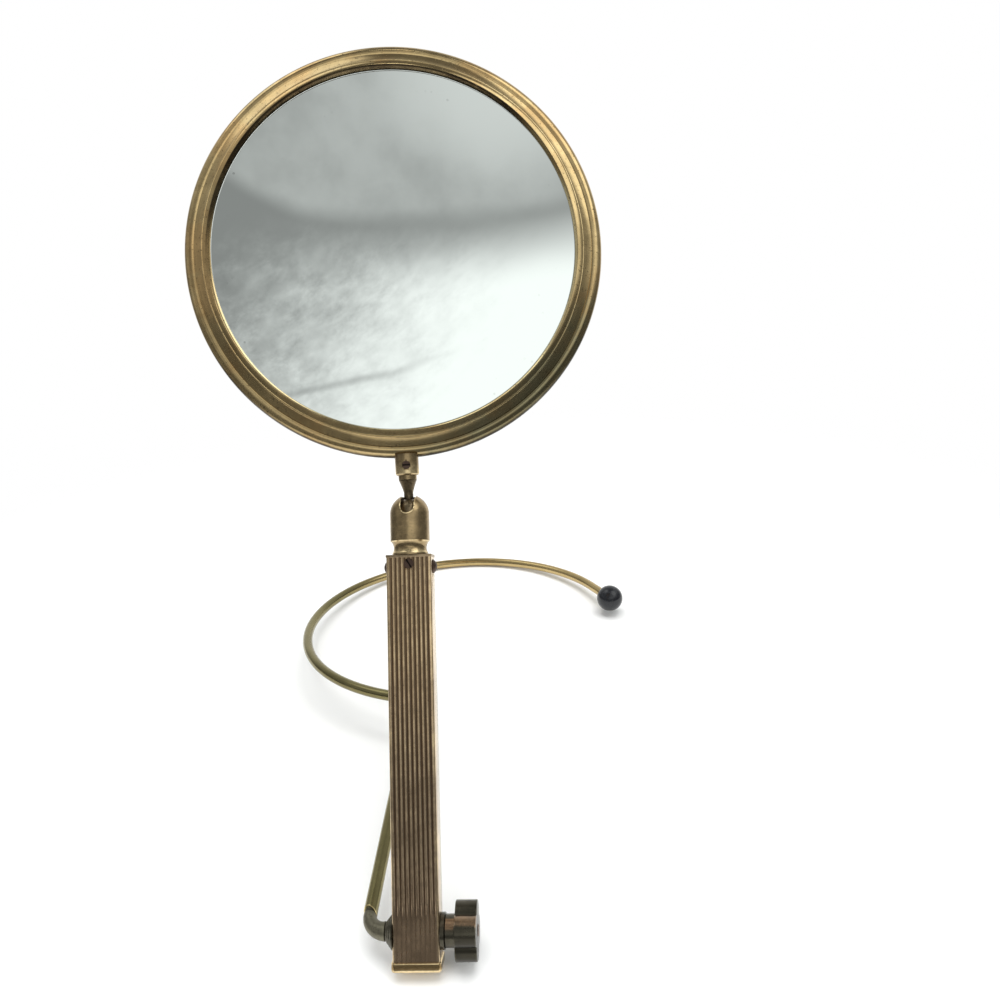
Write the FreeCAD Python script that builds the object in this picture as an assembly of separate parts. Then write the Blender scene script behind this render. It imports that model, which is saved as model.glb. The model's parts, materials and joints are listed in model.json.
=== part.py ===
import FreeCAD, Part
import math
import os

# Table-top vanity mirror in aged brass.  A round mirror stands on a ball joint at the top of a fluted
# column.  The column is clamped by a four-lobed knob to a bent tube, whose open ring lies behind it on
# the table.  Millimetres and degrees, +Z up, the face towards -Y, standing as it is used.

Vector = FreeCAD.Vector
Rotation = FreeCAD.Rotation
Placement = FreeCAD.Placement

os.makedirs("parts", exist_ok=True)

# Pose of the standing mirror
column_lean = 30.8          # column leans back from upright
ring_slope = 6.3            # ring falls away towards the back
head_nod = 5.7              # head leans forward of the column's line
head_roll = 1.2             # head leans to the left
head_turn = 5.0             # head turned to the right about its stem
knob_turn = 52.0            # one lobe of the knob points forward and up

# Mirror frame, a spun brass moulding, from its rim inwards
mirror_diameter = 190.0
bead_width = 4.8            # broad outer bead
bead_fall = 2.9             # how far it falls back towards the rim
bead_bow = 1.3
quirk_width = 0.3           # small step beside it
quirk_fall = 0.6
cove_width = 3.5            # shallow hollow
cove_fall = 1.7
cove_depth = 0.35
fillet_bead_width = 0.9     # narrow bead
fillet_bead_fall = 0.5
fillet_bead_bow = 0.35
crest_width = 2.2           # foremost band
crest_fall = 0.8
crest_bow = 0.25
lip_width = 1.1             # rolled lip that holds the glass
lip_height = 2.5            # crest over the glass
lip_bow = 0.35
sheet = 1.0                 # brass sheet of the frame
channel_rise = 0.4          # inside corner of the rim in front of its widest circle
back_round = 2.4
back_lip = 3.6              # inward reach of the lip at the back
back_lip_sheet = 0.6
rim_forward = 0.8           # frame's middle plane stands forward of the stem

# Glass and back
glass_front = 2.0           # front of the glass over the frame's middle plane
glass_thickness = 3.0
glass_overlap = 2.4         # glass held behind the lip
glass_bevel = 0.6
glass_play = 0.4            # room round the glass
card_thickness = 1.0
cover_sheet = 0.8
cover_dome = 1.0
cover_dome_diameter = 140.0
cover_step = 4.0
cover_play = 0.3            # room round the cover
snap_wire = 1.4             # wire of the snap ring behind the cover
snap_gap = 14.0             # opening of the snap ring, degrees
snap_play = 0.1

# Stem and ball joint, heights from the middle of the ball
ball_diameter = 11.5
ball_clearance = 0.05
neck_diameter = 4.2
tenon_diameter = 3.2
tenon_depth = 4.4
neck_length = 2.6
taper_length = 5.6
waist_diameter = 5.9        # stud halfway up its taper
collar_diameter = 8.2
collar_length = 2.2
shank_diameter = 6.0
shank_length = 7.0
sleeve_diameter = 10.7
sleeve_chamfer = 0.6
stem_length = 24.2          # middle of the ball to the frame's rim
sleeve_overlap = 1.6        # sleeve beside the rim
sleeve_screw_diameter = 3.2
sleeve_screw_recess = 0.15
sleeve_screw_drop = 3.9     # screw below the rim

# Socket on the column
socket_diameter = 17.7
socket_top = 7.4            # crown of the dome over the middle of the ball
socket_bottom = 14.1        # lower edge below the middle of the ball
socket_chamfer = 0.5
notch_width = 6.0
notch_floor = 1.5           # floor of the notch below the middle of the ball
notch_chamfer = 0.45
spigot_diameter = 14.2      # screwed part of the base inside the socket
spigot_length = 6.0
spigot_clearance = 0.05
spring_pocket = 10.0
pocket_depth = 1.7          # pocket below the base's shoulder
cove_neck = 14.8
cove_foot = 16.1
cove_rim = 0.9
tang_diameter = 5.0         # tang of the base inside the column's plug
tang_length = 6.0
tang_play = 0.3             # screw's end stands off the tang
seat_drop = 3.2             # rim of the seat below the middle of the ball
seat_height = 3.0
spring_leaves = 3
spring_strip = 1.4          # thickness of a spring washer
spring_eye = 4.2
spring_play = 0.4

# Fluted column
flute_pitch = 2.0
reed_count = 10
flute_radius = 0.8
flute_depth = 0.35
column_depth = 11.5
column_length = 168.8
column_wall = 1.2
column_corner = 0.7
pivot_rise = 10.4           # pivot over the lower end of the tube
plate_thickness = 1.2
plate_overhang = 0.2
plug_length = 9.0
plug_clearance = 0.05
ball_rise = 19.9            # middle of the ball over the top plate
cap_height = 4.0
cap_overhang = 0.6
cap_round = 1.2
cap_corner = 1.5
cap_plug = 2.6

# Column screws
face_screw_diameter = 4.3
face_screw_drop = 4.0       # screw below the plate's upper face
face_screw_recess = 0.3
side_screw_diameter = 6.2
side_screw_height = 1.9
side_screw_shank = 3.0
side_screw_length = 4.0
side_screw_drop = 5.4
screw_slot = 0.8
screw_slot_depth = 0.7

# Clamped pivot
bolt_diameter = 5.0
bolt_clearance = 0.05
bolt_proud = 0.4
bolt_socket = 3.2           # bolt inside the elbow
bush_diameter = 8.0
cone_length = 3.9
cone_large = 14.6
cone_small = 7.8
cone_steps = 4
washer_diameter = 14.4
washer_thickness = 2.1
knob_collar_diameter = 13.0
knob_collar_length = 4.2
knob_across = 26.3
knob_lobe = 11.2
knob_lobes = 4
knob_length = 9.3
knob_chamfer = 0.5

# Base tube
tube_diameter = 6.35
tube_wall = 0.7
elbow_bend = 8.0            # bend of the elbow at its middle line
elbow_end = 5.6             # elbow's thickness where it meets the tube
spigot_depth = 8.0          # elbow inside the tube
elbow_fit = 0.02
ring_radius = 106.7         # ring at the tube's middle line
ring_reach = 247.6          # pivot to the ring's middle
ring_side = 0.9             # ring's middle beside the column's middle
ring_corner = 1.5           # corner of arm and ring stands outside the ring
arm_splay = 3.8             # arm runs inward to the corner
corner_bend = 20.0
ring_end = 27.0             # angle where the ring runs out straight, from the right side
tail_length = 24.0
tip_diameter = 18.6
tip_socket = 8.0
tip_clearance = 0.02

# Fineness with which the whole mirror's box is measured
box_fineness = 0.05

# Places that follow from the sizes
half_width = flute_pitch * reed_count / 2
half_depth = column_depth / 2
face_screw_length = half_depth - face_screw_recess - tang_diameter / 2 - tang_play
mirror_radius = mirror_diameter / 2
frame_width = bead_width + quirk_width + cove_width + fillet_bead_width + crest_width + lip_width
sight_radius = mirror_radius - frame_width
ball_radius = ball_diameter / 2
tube_radius = tube_diameter / 2
bolt_radius = bolt_diameter / 2
bolt_hole = bolt_radius + bolt_clearance
tip_radius = tip_diameter / 2
tube_top = column_length - pivot_rise
plate_top = tube_top + plate_thickness
ball_height = plate_top + ball_rise
lean = math.radians(column_lean)
cap_drop = pivot_rise + cap_height
cap_reach = half_depth + cap_overhang
pivot_height = (cap_drop - cap_round) * math.cos(lean) + (cap_reach - cap_round) * math.sin(lean) + cap_round
arm_side = half_width + cone_length + elbow_bend
glass_radius = sight_radius + glass_overlap
glass_back = glass_front - glass_thickness
card_back = glass_back - card_thickness
cover_back = card_back - cover_sheet
rim_back = snap_wire - cover_back + back_lip_sheet
taper_foot = ball_radius + neck_length
collar_foot = taper_foot + taper_length
sleeve_foot = collar_foot + collar_length
mirror_rise = stem_length + mirror_radius
neck_seat = math.sqrt(ball_radius ** 2 - (neck_diameter / 2) ** 2)
seat_flat = -seat_drop - seat_height
pocket_floor = -socket_bottom - pocket_depth
column_place = Placement(Vector(0, 0, pivot_height), Rotation(Vector(1, 0, 0), -column_lean))
head_local = Placement(Vector(0, 0, ball_height), Rotation(Vector(1, 0, 0), head_nod))
head_local = head_local.multiply(Placement(Vector(), Rotation(Vector(0, 1, 0), -head_roll)))
head_local = head_local.multiply(Placement(Vector(), Rotation(Vector(0, 0, 1), head_turn)))
head_place = column_place.multiply(head_local)

# Ring of the base: its plane, the corner where the arm meets it, and its ends
slope = math.radians(ring_slope)
across = Vector(1, 0, 0)
backward = Vector(0, math.cos(slope), -math.sin(slope))
ring_normal = across.cross(backward)
ring_middle = Vector(ring_side, ring_reach, ring_radius * math.sin(slope) + tube_radius)
corner_radius = ring_radius + ring_corner
corner_across = arm_splay - arm_side - ring_side
corner_back = -math.sqrt(corner_radius ** 2 - corner_across ** 2)
corner = ring_middle + across * corner_across + backward * corner_back
arm_start = Vector(-arm_side, 0, pivot_height)
arm_line = (corner - arm_start).normalize()
corner_angle = math.atan2(corner_back, corner_across) % (2 * math.pi)
meet_angle = corner_angle - math.acos(ring_radius / corner_radius)
end_angle = math.radians(ring_end)


def ring_point(angle):
    """Point on the ring's middle line, the angle counted from the right side towards the back."""
    return ring_middle + across * (ring_radius * math.cos(angle)) + backward * (ring_radius * math.sin(angle))


def ring_course(angle):
    """Direction in which the tube runs along the ring, from the arm towards the ball."""
    return across * math.sin(angle) - backward * math.cos(angle)


def revolved(edges, turn=360.0):
    """Solid of revolution about Z from a closed outline in the XZ plane."""
    face = Part.Face(Part.Wire(edges))
    return face.revolve(Vector(), Vector(0, 0, 1), turn)


def outline(points):
    """Closed outline of straight edges through (radius, height) pairs."""
    corners = [Vector(radius, 0, height) for radius, height in points]
    return [Part.LineSegment(a, b).toShape() for a, b in zip(corners, corners[1:] + corners[:1])]


def line(start, end):
    """Straight edge between two (radius, height) pairs."""
    return Part.LineSegment(Vector(start[0], 0, start[1]), Vector(end[0], 0, end[1])).toShape()


def arc(start, middle, end):
    """Round edge through three (radius, height) pairs."""
    points = [Vector(radius, 0, height) for radius, height in (start, middle, end)]
    return Part.Arc(*points).toShape()


def cylinder(radius, length, foot=Vector(), course=Vector(0, 0, 1)):
    """Round bar from its foot along its course."""
    return Part.makeCylinder(radius, length, foot, course)


def collar(outer, inner, length, foot=Vector(), course=Vector(0, 0, 1)):
    """Round bar with a bore."""
    return cylinder(outer, length, foot, course).cut(cylinder(inner, length, foot, course))


def sphere(radius, middle=Vector()):
    """Ball."""
    return Part.makeSphere(radius, middle)


def block(width, depth, height, foot=0.0, corner_round=0.0):
    """Upright block about the Z axis with rounded upright edges."""
    solid = Part.makeBox(width, depth, height, Vector(-width / 2, -depth / 2, foot))
    if corner_round:
        upright = [e for e in solid.Edges if abs(e.tangentAt(e.FirstParameter).z) > 0.9]
        solid = solid.makeFillet(corner_round, upright)
    return solid


def facing(shape):
    """Turn a shape made about Z so that its upper side faces forward, at the mirror's middle."""
    return shape.transformed(Placement(Vector(0, -rim_forward, mirror_rise), Rotation(across, 90)).toMatrix())


def bowed(start, end, bow):
    """Round edge between two (radius, height) pairs, bowed towards the front; a negative bow is a hollow."""
    run, rise = end[0] - start[0], end[1] - start[1]
    length = math.hypot(run, rise)
    middle = ((start[0] + end[0]) / 2 - rise / length * bow, (start[1] + end[1]) / 2 + run / length * bow)
    return arc(start, middle, end)


def moulding_steps():
    """Widths, falls and bows of the frame's front from the lip outwards."""
    return [
        (lip_width, -lip_height, lip_bow),
        (crest_width, crest_fall, crest_bow),
        (fillet_bead_width, fillet_bead_fall, fillet_bead_bow),
        (cove_width, cove_fall, -cove_depth),
        (quirk_width, quirk_fall, 0),
        (bead_width, bead_fall, bead_bow),
    ]


def rim_height():
    """Height of the frame's widest circle over its middle plane."""
    return glass_front - sum(fall for width, fall, bow in moulding_steps())


def frame_outer_edges():
    """Front, rim and back of the mirror frame, from the lip round to the back edge."""
    edges = []
    place = (sight_radius, glass_front)
    for width, fall, bow in moulding_steps():
        following = (place[0] + width, place[1] - fall)
        edges.append(bowed(place, following, bow) if bow else line(place, following))
        place = following
    turn = math.radians(45)
    round_middle = (mirror_radius - back_round * (1 - math.sin(turn)),
                    -rim_back + back_round * (1 - math.cos(turn)))
    round_start = (mirror_radius, back_round - rim_back)
    return edges + [
        line(place, round_start),
        arc(round_start, round_middle, (mirror_radius - back_round, -rim_back)),
        line((mirror_radius - back_round, -rim_back), (mirror_radius - back_lip, -rim_back)),
    ]


def mirror_frame():
    """Spun brass frame: beads and cove in front, a channel behind, a short lip at the back."""
    inner = mirror_radius - sheet
    lip_inner = mirror_radius - back_lip
    edges = frame_outer_edges()
    seat = glass_radius + glass_play
    lip_face = back_lip_sheet - rim_back
    inside = [
        (lip_inner, -rim_back),
        (lip_inner, lip_face),
        (lip_inner + snap_wire + snap_play, lip_face),
        (inner, lip_face + back_round / 2),
        (inner, rim_height() + channel_rise),
        (seat, glass_front),
        (sight_radius, glass_front),
    ]
    edges += [line(a, b) for a, b in zip(inside, inside[1:])]
    return facing(revolved(edges))


def mirror_glass():
    """Round silvered glass with a ground front edge."""
    return facing(revolved(outline([
        (0, glass_back),
        (glass_radius, glass_back),
        (glass_radius, glass_front - glass_bevel),
        (glass_radius - glass_bevel, glass_front),
        (0, glass_front),
    ])))


def backing_card():
    """Card that cushions the silvered side."""
    return facing(cylinder(glass_radius, card_thickness, Vector(0, 0, card_back)))


def back_cover():
    """Pressed brass cover with a shallow raised middle."""
    edge = mirror_radius - sheet - cover_play
    dome = cover_dome_diameter / 2
    return facing(revolved(outline([
        (0, card_back - cover_dome),
        (dome, card_back - cover_dome),
        (dome + cover_step, card_back),
        (edge, card_back),
        (edge, cover_back),
        (dome + cover_step, cover_back),
        (dome, cover_back - cover_dome),
        (0, cover_back - cover_dome),
    ])))


def retaining_ring():
    """Open wire ring that snaps in behind the cover."""
    wire = snap_wire / 2
    middle = mirror_radius - back_lip + snap_play + wire
    section = Part.Face(Part.Wire(Part.makeCircle(wire, Vector(middle, 0, cover_back - wire), Vector(0, 1, 0))))
    ring = section.revolve(Vector(), Vector(0, 0, 1), 360.0 - snap_gap)
    ring.rotate(Vector(), Vector(0, 0, 1), 90.0 + snap_gap / 2)
    return facing(ring)


def joint_ball():
    """Brass ball of the joint, bored for the stud."""
    ball = sphere(ball_radius)
    bore = cylinder(tenon_diameter / 2 + ball_clearance, ball_diameter, Vector(0, 0, ball_radius - tenon_depth))
    flat = cylinder(ball_radius, ball_radius, Vector(0, 0, neck_seat))
    return ball.cut(bore).cut(flat)


def ball_stud():
    """Turned stud: tenon in the ball, waisted neck, collar and the shank inside the sleeve."""
    tenon = tenon_diameter / 2
    neck = neck_diameter / 2
    broad = collar_diameter / 2
    shank = shank_diameter / 2
    foot = ball_radius - tenon_depth + ball_clearance
    seat = neck_seat + ball_clearance
    top = sleeve_foot + shank_length
    waist = (waist_diameter / 2, taper_foot + taper_length / 2)
    edges = [
        line((0, foot), (tenon, foot)),
        line((tenon, foot), (tenon, seat)),
        line((tenon, seat), (neck, seat)),
        line((neck, seat), (neck, taper_foot)),
        arc((neck, taper_foot), waist, (broad, collar_foot)),
        line((broad, collar_foot), (broad, sleeve_foot)),
        line((broad, sleeve_foot), (shank, sleeve_foot)),
        line((shank, sleeve_foot), (shank, top)),
        line((shank, top), (0, top)),
        line((0, top), (0, foot)),
    ]
    return revolved(edges)


def rim_solid():
    """Frame's rim as a filled wheel, to shape what is brazed to it."""
    edges = frame_outer_edges() + [
        line((mirror_radius - back_lip, -rim_back), (0, -rim_back)),
        line((0, -rim_back), (0, glass_front)),
        line((0, glass_front), (sight_radius, glass_front)),
    ]
    return facing(revolved(edges))


def sleeve_screw_height():
    """Height of the sleeve's screw over the middle of the ball."""
    return stem_length - sleeve_screw_drop


def stem_sleeve():
    """Ferrule brazed to the rim: bored for the shank, its top shaped to the moulding."""
    radius = sleeve_diameter / 2
    top = stem_length + sleeve_overlap
    body = revolved(outline([
        (0, sleeve_foot),
        (radius - sleeve_chamfer, sleeve_foot),
        (radius, sleeve_foot + sleeve_chamfer),
        (radius, top),
        (0, top),
    ]))
    body = body.cut(cylinder(shank_diameter / 2, shank_length, Vector(0, 0, sleeve_foot)))
    hole = cylinder(sleeve_screw_diameter / 2, sleeve_diameter, Vector(0, 0, sleeve_screw_height()), Vector(0, -1, 0))
    return body.cut(rim_solid()).cut(hole)


def slotted(screw, radius, head, course):
    """Cut a driver slot across a screw head; course runs along the slot, head is the slot's middle."""
    outward = head[1]
    sideways = outward.cross(course)
    slot = Part.makeBox(4 * radius, screw_slot, 2 * screw_slot_depth)
    slot.translate(Vector(-2 * radius, -screw_slot / 2, -screw_slot_depth))
    turn = Rotation(course, sideways, outward, "ZXY")
    return screw.cut(slot.transformed(Placement(head[0], turn).toMatrix()))


def sleeve_screw():
    """Grub screw that locks the shank in the sleeve, its slot level."""
    outward = Vector(0, -1, 0)
    radius = sleeve_screw_diameter / 2
    face = sleeve_diameter / 2 - sleeve_screw_recess
    head = Vector(0, -face, sleeve_screw_height())
    screw = cylinder(radius, face - shank_diameter / 2, head, outward * -1)
    return slotted(screw, radius, (head, outward), across)


def notch_cutter(width):
    """Slot from the crown of the socket down its front, as wide as given, for the stud's neck."""
    radius = width / 2
    far = socket_diameter
    level = radius - notch_floor - (width - notch_width) / 2
    upright = cylinder(radius, far, Vector(0, 0, level))
    forward = cylinder(radius, far, Vector(0, 0, level), Vector(0, -1, 0))
    between = Part.makeBox(width, far, far, Vector(-radius, -far, level))
    return upright.fuse([forward, between])


def socket_outline(inset):
    """Bullet shape of the socket from its axis to its lower edge, drawn in by an inset."""
    radius = socket_diameter / 2 - inset
    spring = socket_top - socket_diameter / 2
    crown = spring + radius
    turn = math.radians(45)
    knee = (radius * math.sin(turn), spring + radius * math.cos(turn))
    return radius, spring, crown, knee


def socket_cap():
    """Bullet-shaped socket that holds the ball from above, notched at the crown and front."""
    radius, spring, crown, knee = socket_outline(0)
    foot = -socket_bottom
    body = revolved([
        line((0, foot), (radius - socket_chamfer, foot)),
        line((radius - socket_chamfer, foot), (radius, foot + socket_chamfer)),
        line((radius, foot + socket_chamfer), (radius, spring)),
        arc((radius, spring), knee, (0, crown)),
        line((0, crown), (0, foot)),
    ])
    seat = ball_radius + ball_clearance
    body = body.cut(sphere(seat)).cut(cylinder(seat, socket_bottom, Vector(0, 0, -socket_bottom)))
    thread = spigot_diameter / 2 + spigot_clearance
    body = body.cut(cylinder(thread, spigot_length + spigot_clearance, Vector(0, 0, foot)))
    body = body.cut(notch_cutter(notch_width))
    inner_radius, inner_spring, inner_crown, inner_knee = socket_outline(notch_chamfer)
    core = revolved([
        line((0, foot), (inner_radius, foot)),
        line((inner_radius, foot), (inner_radius, inner_spring)),
        arc((inner_radius, inner_spring), inner_knee, (0, inner_crown)),
        line((0, inner_crown), (0, foot)),
    ])
    return body.cut(notch_cutter(notch_width + 2 * notch_chamfer).cut(core))


def socket_base():
    """Turned base of the socket: coved neck on the plate, screwed spigot above, tang below."""
    foot = -ball_rise
    neck = cove_neck / 2
    broad = cove_foot / 2
    shoulder = -socket_bottom
    spigot = spigot_diameter / 2
    pocket = spring_pocket / 2
    tang = tang_diameter / 2
    edges = [
        line((0, foot - tang_length), (tang, foot - tang_length)),
        line((tang, foot - tang_length), (tang, foot)),
        line((tang, foot), (broad, foot)),
        line((broad, foot), (broad, foot + cove_rim)),
        arc((broad, foot + cove_rim), (neck, (foot + cove_rim + shoulder) / 2),
            (socket_diameter / 2 - socket_chamfer, shoulder)),
        line((socket_diameter / 2 - socket_chamfer, shoulder), (spigot, shoulder)),
        line((spigot, shoulder), (spigot, shoulder + spigot_length)),
        line((spigot, shoulder + spigot_length), (pocket, shoulder + spigot_length)),
        line((pocket, shoulder + spigot_length), (pocket, pocket_floor)),
        line((pocket, pocket_floor), (0, pocket_floor)),
        line((0, pocket_floor), (0, foot - tang_length)),
    ]
    return revolved(edges)


def ball_seat():
    """Cup under the ball, pressed up by the spring washers."""
    cup = cylinder(ball_radius, seat_height, Vector(0, 0, seat_flat))
    return cup.cut(sphere(ball_radius + ball_clearance))


def seat_spring():
    """Stack of dished spring washers between the pocket's floor and the seat."""
    leaf = (seat_flat - pocket_floor) / spring_leaves
    edge = spring_pocket / 2 - spring_play
    eye = spring_eye / 2
    stack = []
    for number in range(spring_leaves):
        low = pocket_floor + number * leaf
        high = low + leaf
        inner, outer = (high, low) if number % 2 == 0 else (low, high)
        if inner > outer:
            points = [(eye, inner - spring_strip), (edge, outer), (edge, outer + spring_strip), (eye, inner)]
        else:
            points = [(eye, inner), (edge, outer - spring_strip), (edge, outer), (eye, inner + spring_strip)]
        stack.append(revolved(outline(points)))
    return stack[0].fuse(stack[1:])


def column_tube():
    """Drawn rectangular tube, fluted on both broad faces, drilled for the pivot and the screws."""
    foot = -pivot_rise
    tube = block(2 * half_width, column_depth, column_length, foot, column_corner)
    bore = block(2 * (half_width - column_wall), column_depth - 2 * column_wall, column_length, foot)
    sunk = half_depth + flute_radius - flute_depth
    flutes = []
    for number in range(reed_count - 1):
        side = (number - (reed_count - 2) / 2) * flute_pitch
        for face in (-1, 1):
            flutes.append(cylinder(flute_radius, column_length, Vector(side, face * sunk, foot)))
    holes = [
        cylinder(bolt_hole, 4 * half_width, Vector(-2 * half_width, 0, 0), across),
        cylinder(face_screw_diameter / 2, half_depth, Vector(0, 0, plate_top - face_screw_drop), Vector(0, -1, 0)),
        cylinder(side_screw_shank / 2, 4 * half_width, Vector(-2 * half_width, 0, plate_top - side_screw_drop), across),
    ]
    return tube.cut([bore] + flutes + holes)


def bottom_cap():
    """Brass cap on the column's foot, its lower edges rounded, with a plug inside the tube."""
    foot = -cap_drop
    cap = block(2 * (half_width + cap_overhang), 2 * cap_reach, cap_height, foot, cap_corner)
    lower = [e for e in cap.Edges if abs(e.CenterOfMass.z - foot) < 0.01]
    cap = cap.makeFillet(cap_round, lower)
    inside = column_wall + plug_clearance
    plug = block(2 * (half_width - inside), column_depth - 2 * inside, cap_plug + cap_height / 2, foot + cap_height / 2)
    return cap.fuse(plug).removeSplitter()


def top_plug():
    """Block inside the column's upper end with the plate that carries the socket."""
    inside = column_wall + plug_clearance
    plate = block(2 * (half_width + plate_overhang), column_depth + 2 * plate_overhang, plate_thickness, tube_top)
    plug = block(2 * (half_width - inside), column_depth - 2 * inside, plug_length, tube_top - plug_length)
    solid = plate.fuse(plug).removeSplitter()
    holes = [
        cylinder(tang_diameter / 2, tang_length, Vector(0, 0, plate_top - tang_length)),
        cylinder(face_screw_diameter / 2, half_depth, face_screw_head(), Vector(0, 1, 0)),
    ]
    for side in (-1, 1):
        holes.append(cylinder(side_screw_shank / 2, side_screw_length,
                              Vector(side * half_width, 0, plate_top - side_screw_drop), across * -side))
    return solid.cut(holes)


def face_screw_head():
    """Middle of the face screw's head, a little below the crests of the reeds."""
    return Vector(0, face_screw_recess - half_depth, plate_top - face_screw_drop)


def face_screw():
    """Flush slotted screw in the column's front, its slot on the slant."""
    radius = face_screw_diameter / 2
    screw = cylinder(radius, face_screw_length, face_screw_head(), Vector(0, 1, 0))
    slant = Vector(math.sin(lean), 0, -math.cos(lean))
    return slotted(screw, radius, (face_screw_head(), Vector(0, -1, 0)), slant)


def side_screws():
    """Round-headed slotted screws, one in each side of the column."""
    radius = side_screw_diameter / 2
    dome = (radius ** 2 + side_screw_height ** 2) / (2 * side_screw_height)
    pair = []
    for side in (-1, 1):
        outward = across * side
        foot = Vector(side * half_width, 0, plate_top - side_screw_drop)
        head = sphere(dome, foot + outward * (side_screw_height - dome))
        head = head.common(cylinder(radius, side_screw_height, foot, outward))
        shank = cylinder(side_screw_shank / 2, side_screw_length, foot, outward * -1)
        crown = foot + outward * side_screw_height
        pair.append(slotted(head.fuse(shank), radius, (crown, outward), Vector(0, 0, 1)))
    return Part.makeCompound(pair)


def pivot_bush():
    """Spacer round the bolt that keeps the clamped tube from closing in."""
    length = 2 * (half_width - column_wall)
    return collar(bush_diameter / 2, bolt_hole, length, Vector(-length / 2, 0, 0), across)


def clamp_washer():
    """Flat washer between the column and the knob's collar."""
    return collar(washer_diameter / 2, bolt_hole, washer_thickness, Vector(half_width, 0, 0), across)


def cone_washer():
    """Stepped conical washer between the elbow and the column."""
    step = cone_length / cone_steps
    rings = []
    for number in range(cone_steps):
        share = number / (cone_steps - 1)
        radius = (cone_large + (cone_small - cone_large) * share) / 2
        foot = Vector(-half_width - number * step, 0, pivot_height)
        slim = radius + (cone_small - cone_large) / cone_steps / 4
        rings.append(Part.makeCone(radius, slim, step, foot, across * -1))
    solid = rings[0].fuse(rings[1:]).removeSplitter()
    return solid.cut(cylinder(bolt_radius, cone_length, Vector(-half_width, 0, pivot_height), across * -1))


def knob_start():
    """Distance of the knob's inner face from the column's middle."""
    return half_width + washer_thickness + knob_collar_length


def pivot_bolt():
    """Bolt from the elbow through the column to the knob's outer face."""
    left = -half_width - cone_length - bolt_socket
    right = knob_start() + knob_length + bolt_proud
    bolt = cylinder(bolt_radius, right - left, Vector(left, 0, pivot_height), across)
    rim = [e for e in bolt.Edges if abs(e.CenterOfMass.x - right) < 0.01]
    return bolt.makeChamfer(bolt_proud, rim)


def knob_collar():
    """Plain collar under the knob."""
    foot = Vector(half_width + washer_thickness, 0, pivot_height)
    return collar(knob_collar_diameter / 2, bolt_hole, knob_collar_length, foot, across)


def clamp_knob():
    """Four-lobed clamping knob: round lobes about a hub, edges broken."""
    lobe = knob_lobe / 2
    throw = knob_across / 2 - lobe
    lobes = []
    for number in range(knob_lobes):
        angle = 2 * math.pi * number / knob_lobes
        middle = Vector(throw * math.cos(angle), throw * math.sin(angle), 0)
        lobes.append(Part.makeCone(lobe - knob_chamfer, lobe, knob_chamfer, middle))
        lobes.append(cylinder(lobe, knob_length - 2 * knob_chamfer, middle + Vector(0, 0, knob_chamfer)))
        top = middle + Vector(0, 0, knob_length - knob_chamfer)
        lobes.append(Part.makeCone(lobe, lobe - knob_chamfer, knob_chamfer, top))
    hub = cylinder(knob_collar_diameter / 2, knob_length)
    knob = hub.fuse(lobes).removeSplitter().cut(cylinder(bolt_hole, knob_length))
    upright = Placement(Vector(knob_start(), 0, pivot_height), Rotation(across, -knob_turn))
    sideways = Placement(Vector(), Rotation(Vector(0, 1, 0), 90))
    return knob.transformed(upright.multiply(sideways).toMatrix())


def elbow():
    """Cast elbow from the pivot to the tube, thinner towards the tube, with a spigot inside it."""
    start = Vector(-half_width - cone_length, 0, pivot_height)
    turn_middle = start + arm_line * elbow_bend
    end = turn_middle - across * elbow_bend
    slant = math.radians(45)
    halfway = turn_middle - (across * math.sin(slant) + arm_line * math.cos(slant)) * elbow_bend
    spine = Part.Wire([Part.Arc(start, halfway, end).toShape()])
    sweep = Part.BRepOffsetAPI.MakePipeShell(spine)
    sweep.add(Part.Wire([Part.makeCircle(cone_small / 2, start, across)]))
    sweep.add(Part.Wire([Part.makeCircle(elbow_end / 2, end, arm_line)]))
    sweep.build()
    sweep.makeSolid()
    bend = Part.Solid(sweep.shape()) if sweep.shape().ShapeType == "Shell" else sweep.shape()
    spigot = cylinder(tube_radius - tube_wall - elbow_fit, spigot_depth, end, arm_line)
    socket = cylinder(bolt_radius, bolt_socket, start, across * -1)
    return bend.fuse(spigot).cut(socket).removeSplitter()


def tube_section(place, course):
    """Cross-section of the base tube, square to its course."""
    outer = Part.Wire([Part.makeCircle(tube_radius, place, course)])
    inner = Part.Wire([Part.makeCircle(tube_radius - tube_wall, place, course)])
    return Part.Face(outer).cut(Part.Face(inner)).Faces[0]


def base_tube():
    """Bent brass tube: straight arm, corner, open ring and a short straight end for the ball."""
    meet = ring_point(meet_angle)
    meet_course = ring_course(meet_angle)
    turn = arm_line.getAngle(meet_course)
    inset = corner_bend * math.tan(turn / 2)
    bend_axis = arm_line.cross(meet_course).normalize()
    bend_start = corner - arm_line * inset
    bend_end = corner + meet_course * inset
    bend_middle = bend_start + bend_axis.cross(arm_line) * corner_bend
    tube_start = arm_start + arm_line * elbow_bend
    ring_last = ring_point(end_angle)
    arm = tube_section(tube_start, arm_line).extrude(bend_start - tube_start)
    bend = tube_section(bend_start, arm_line).revolve(bend_middle, bend_axis, math.degrees(turn))
    lead = tube_section(bend_end, meet_course).extrude(meet - bend_end)
    sweep = math.degrees(meet_angle - end_angle)
    ring = tube_section(meet, meet_course).revolve(ring_middle, ring_normal * -1, sweep)
    tail = tube_section(ring_last, ring_course(end_angle)).extrude(ring_course(end_angle) * tail_length)
    return arm.fuse([bend, lead, ring, tail]).removeSplitter()


def ball_tip():
    """Black ball pressed over the end of the tube."""
    course = ring_course(end_angle)
    tube_last = ring_point(end_angle) + course * tail_length
    middle = tube_last + course * (tip_radius - tip_socket)
    ball = sphere(tip_radius, middle)
    return ball.cut(cylinder(tube_radius + tip_clearance, tip_diameter, tube_last - course * tip_diameter, course))


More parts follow.
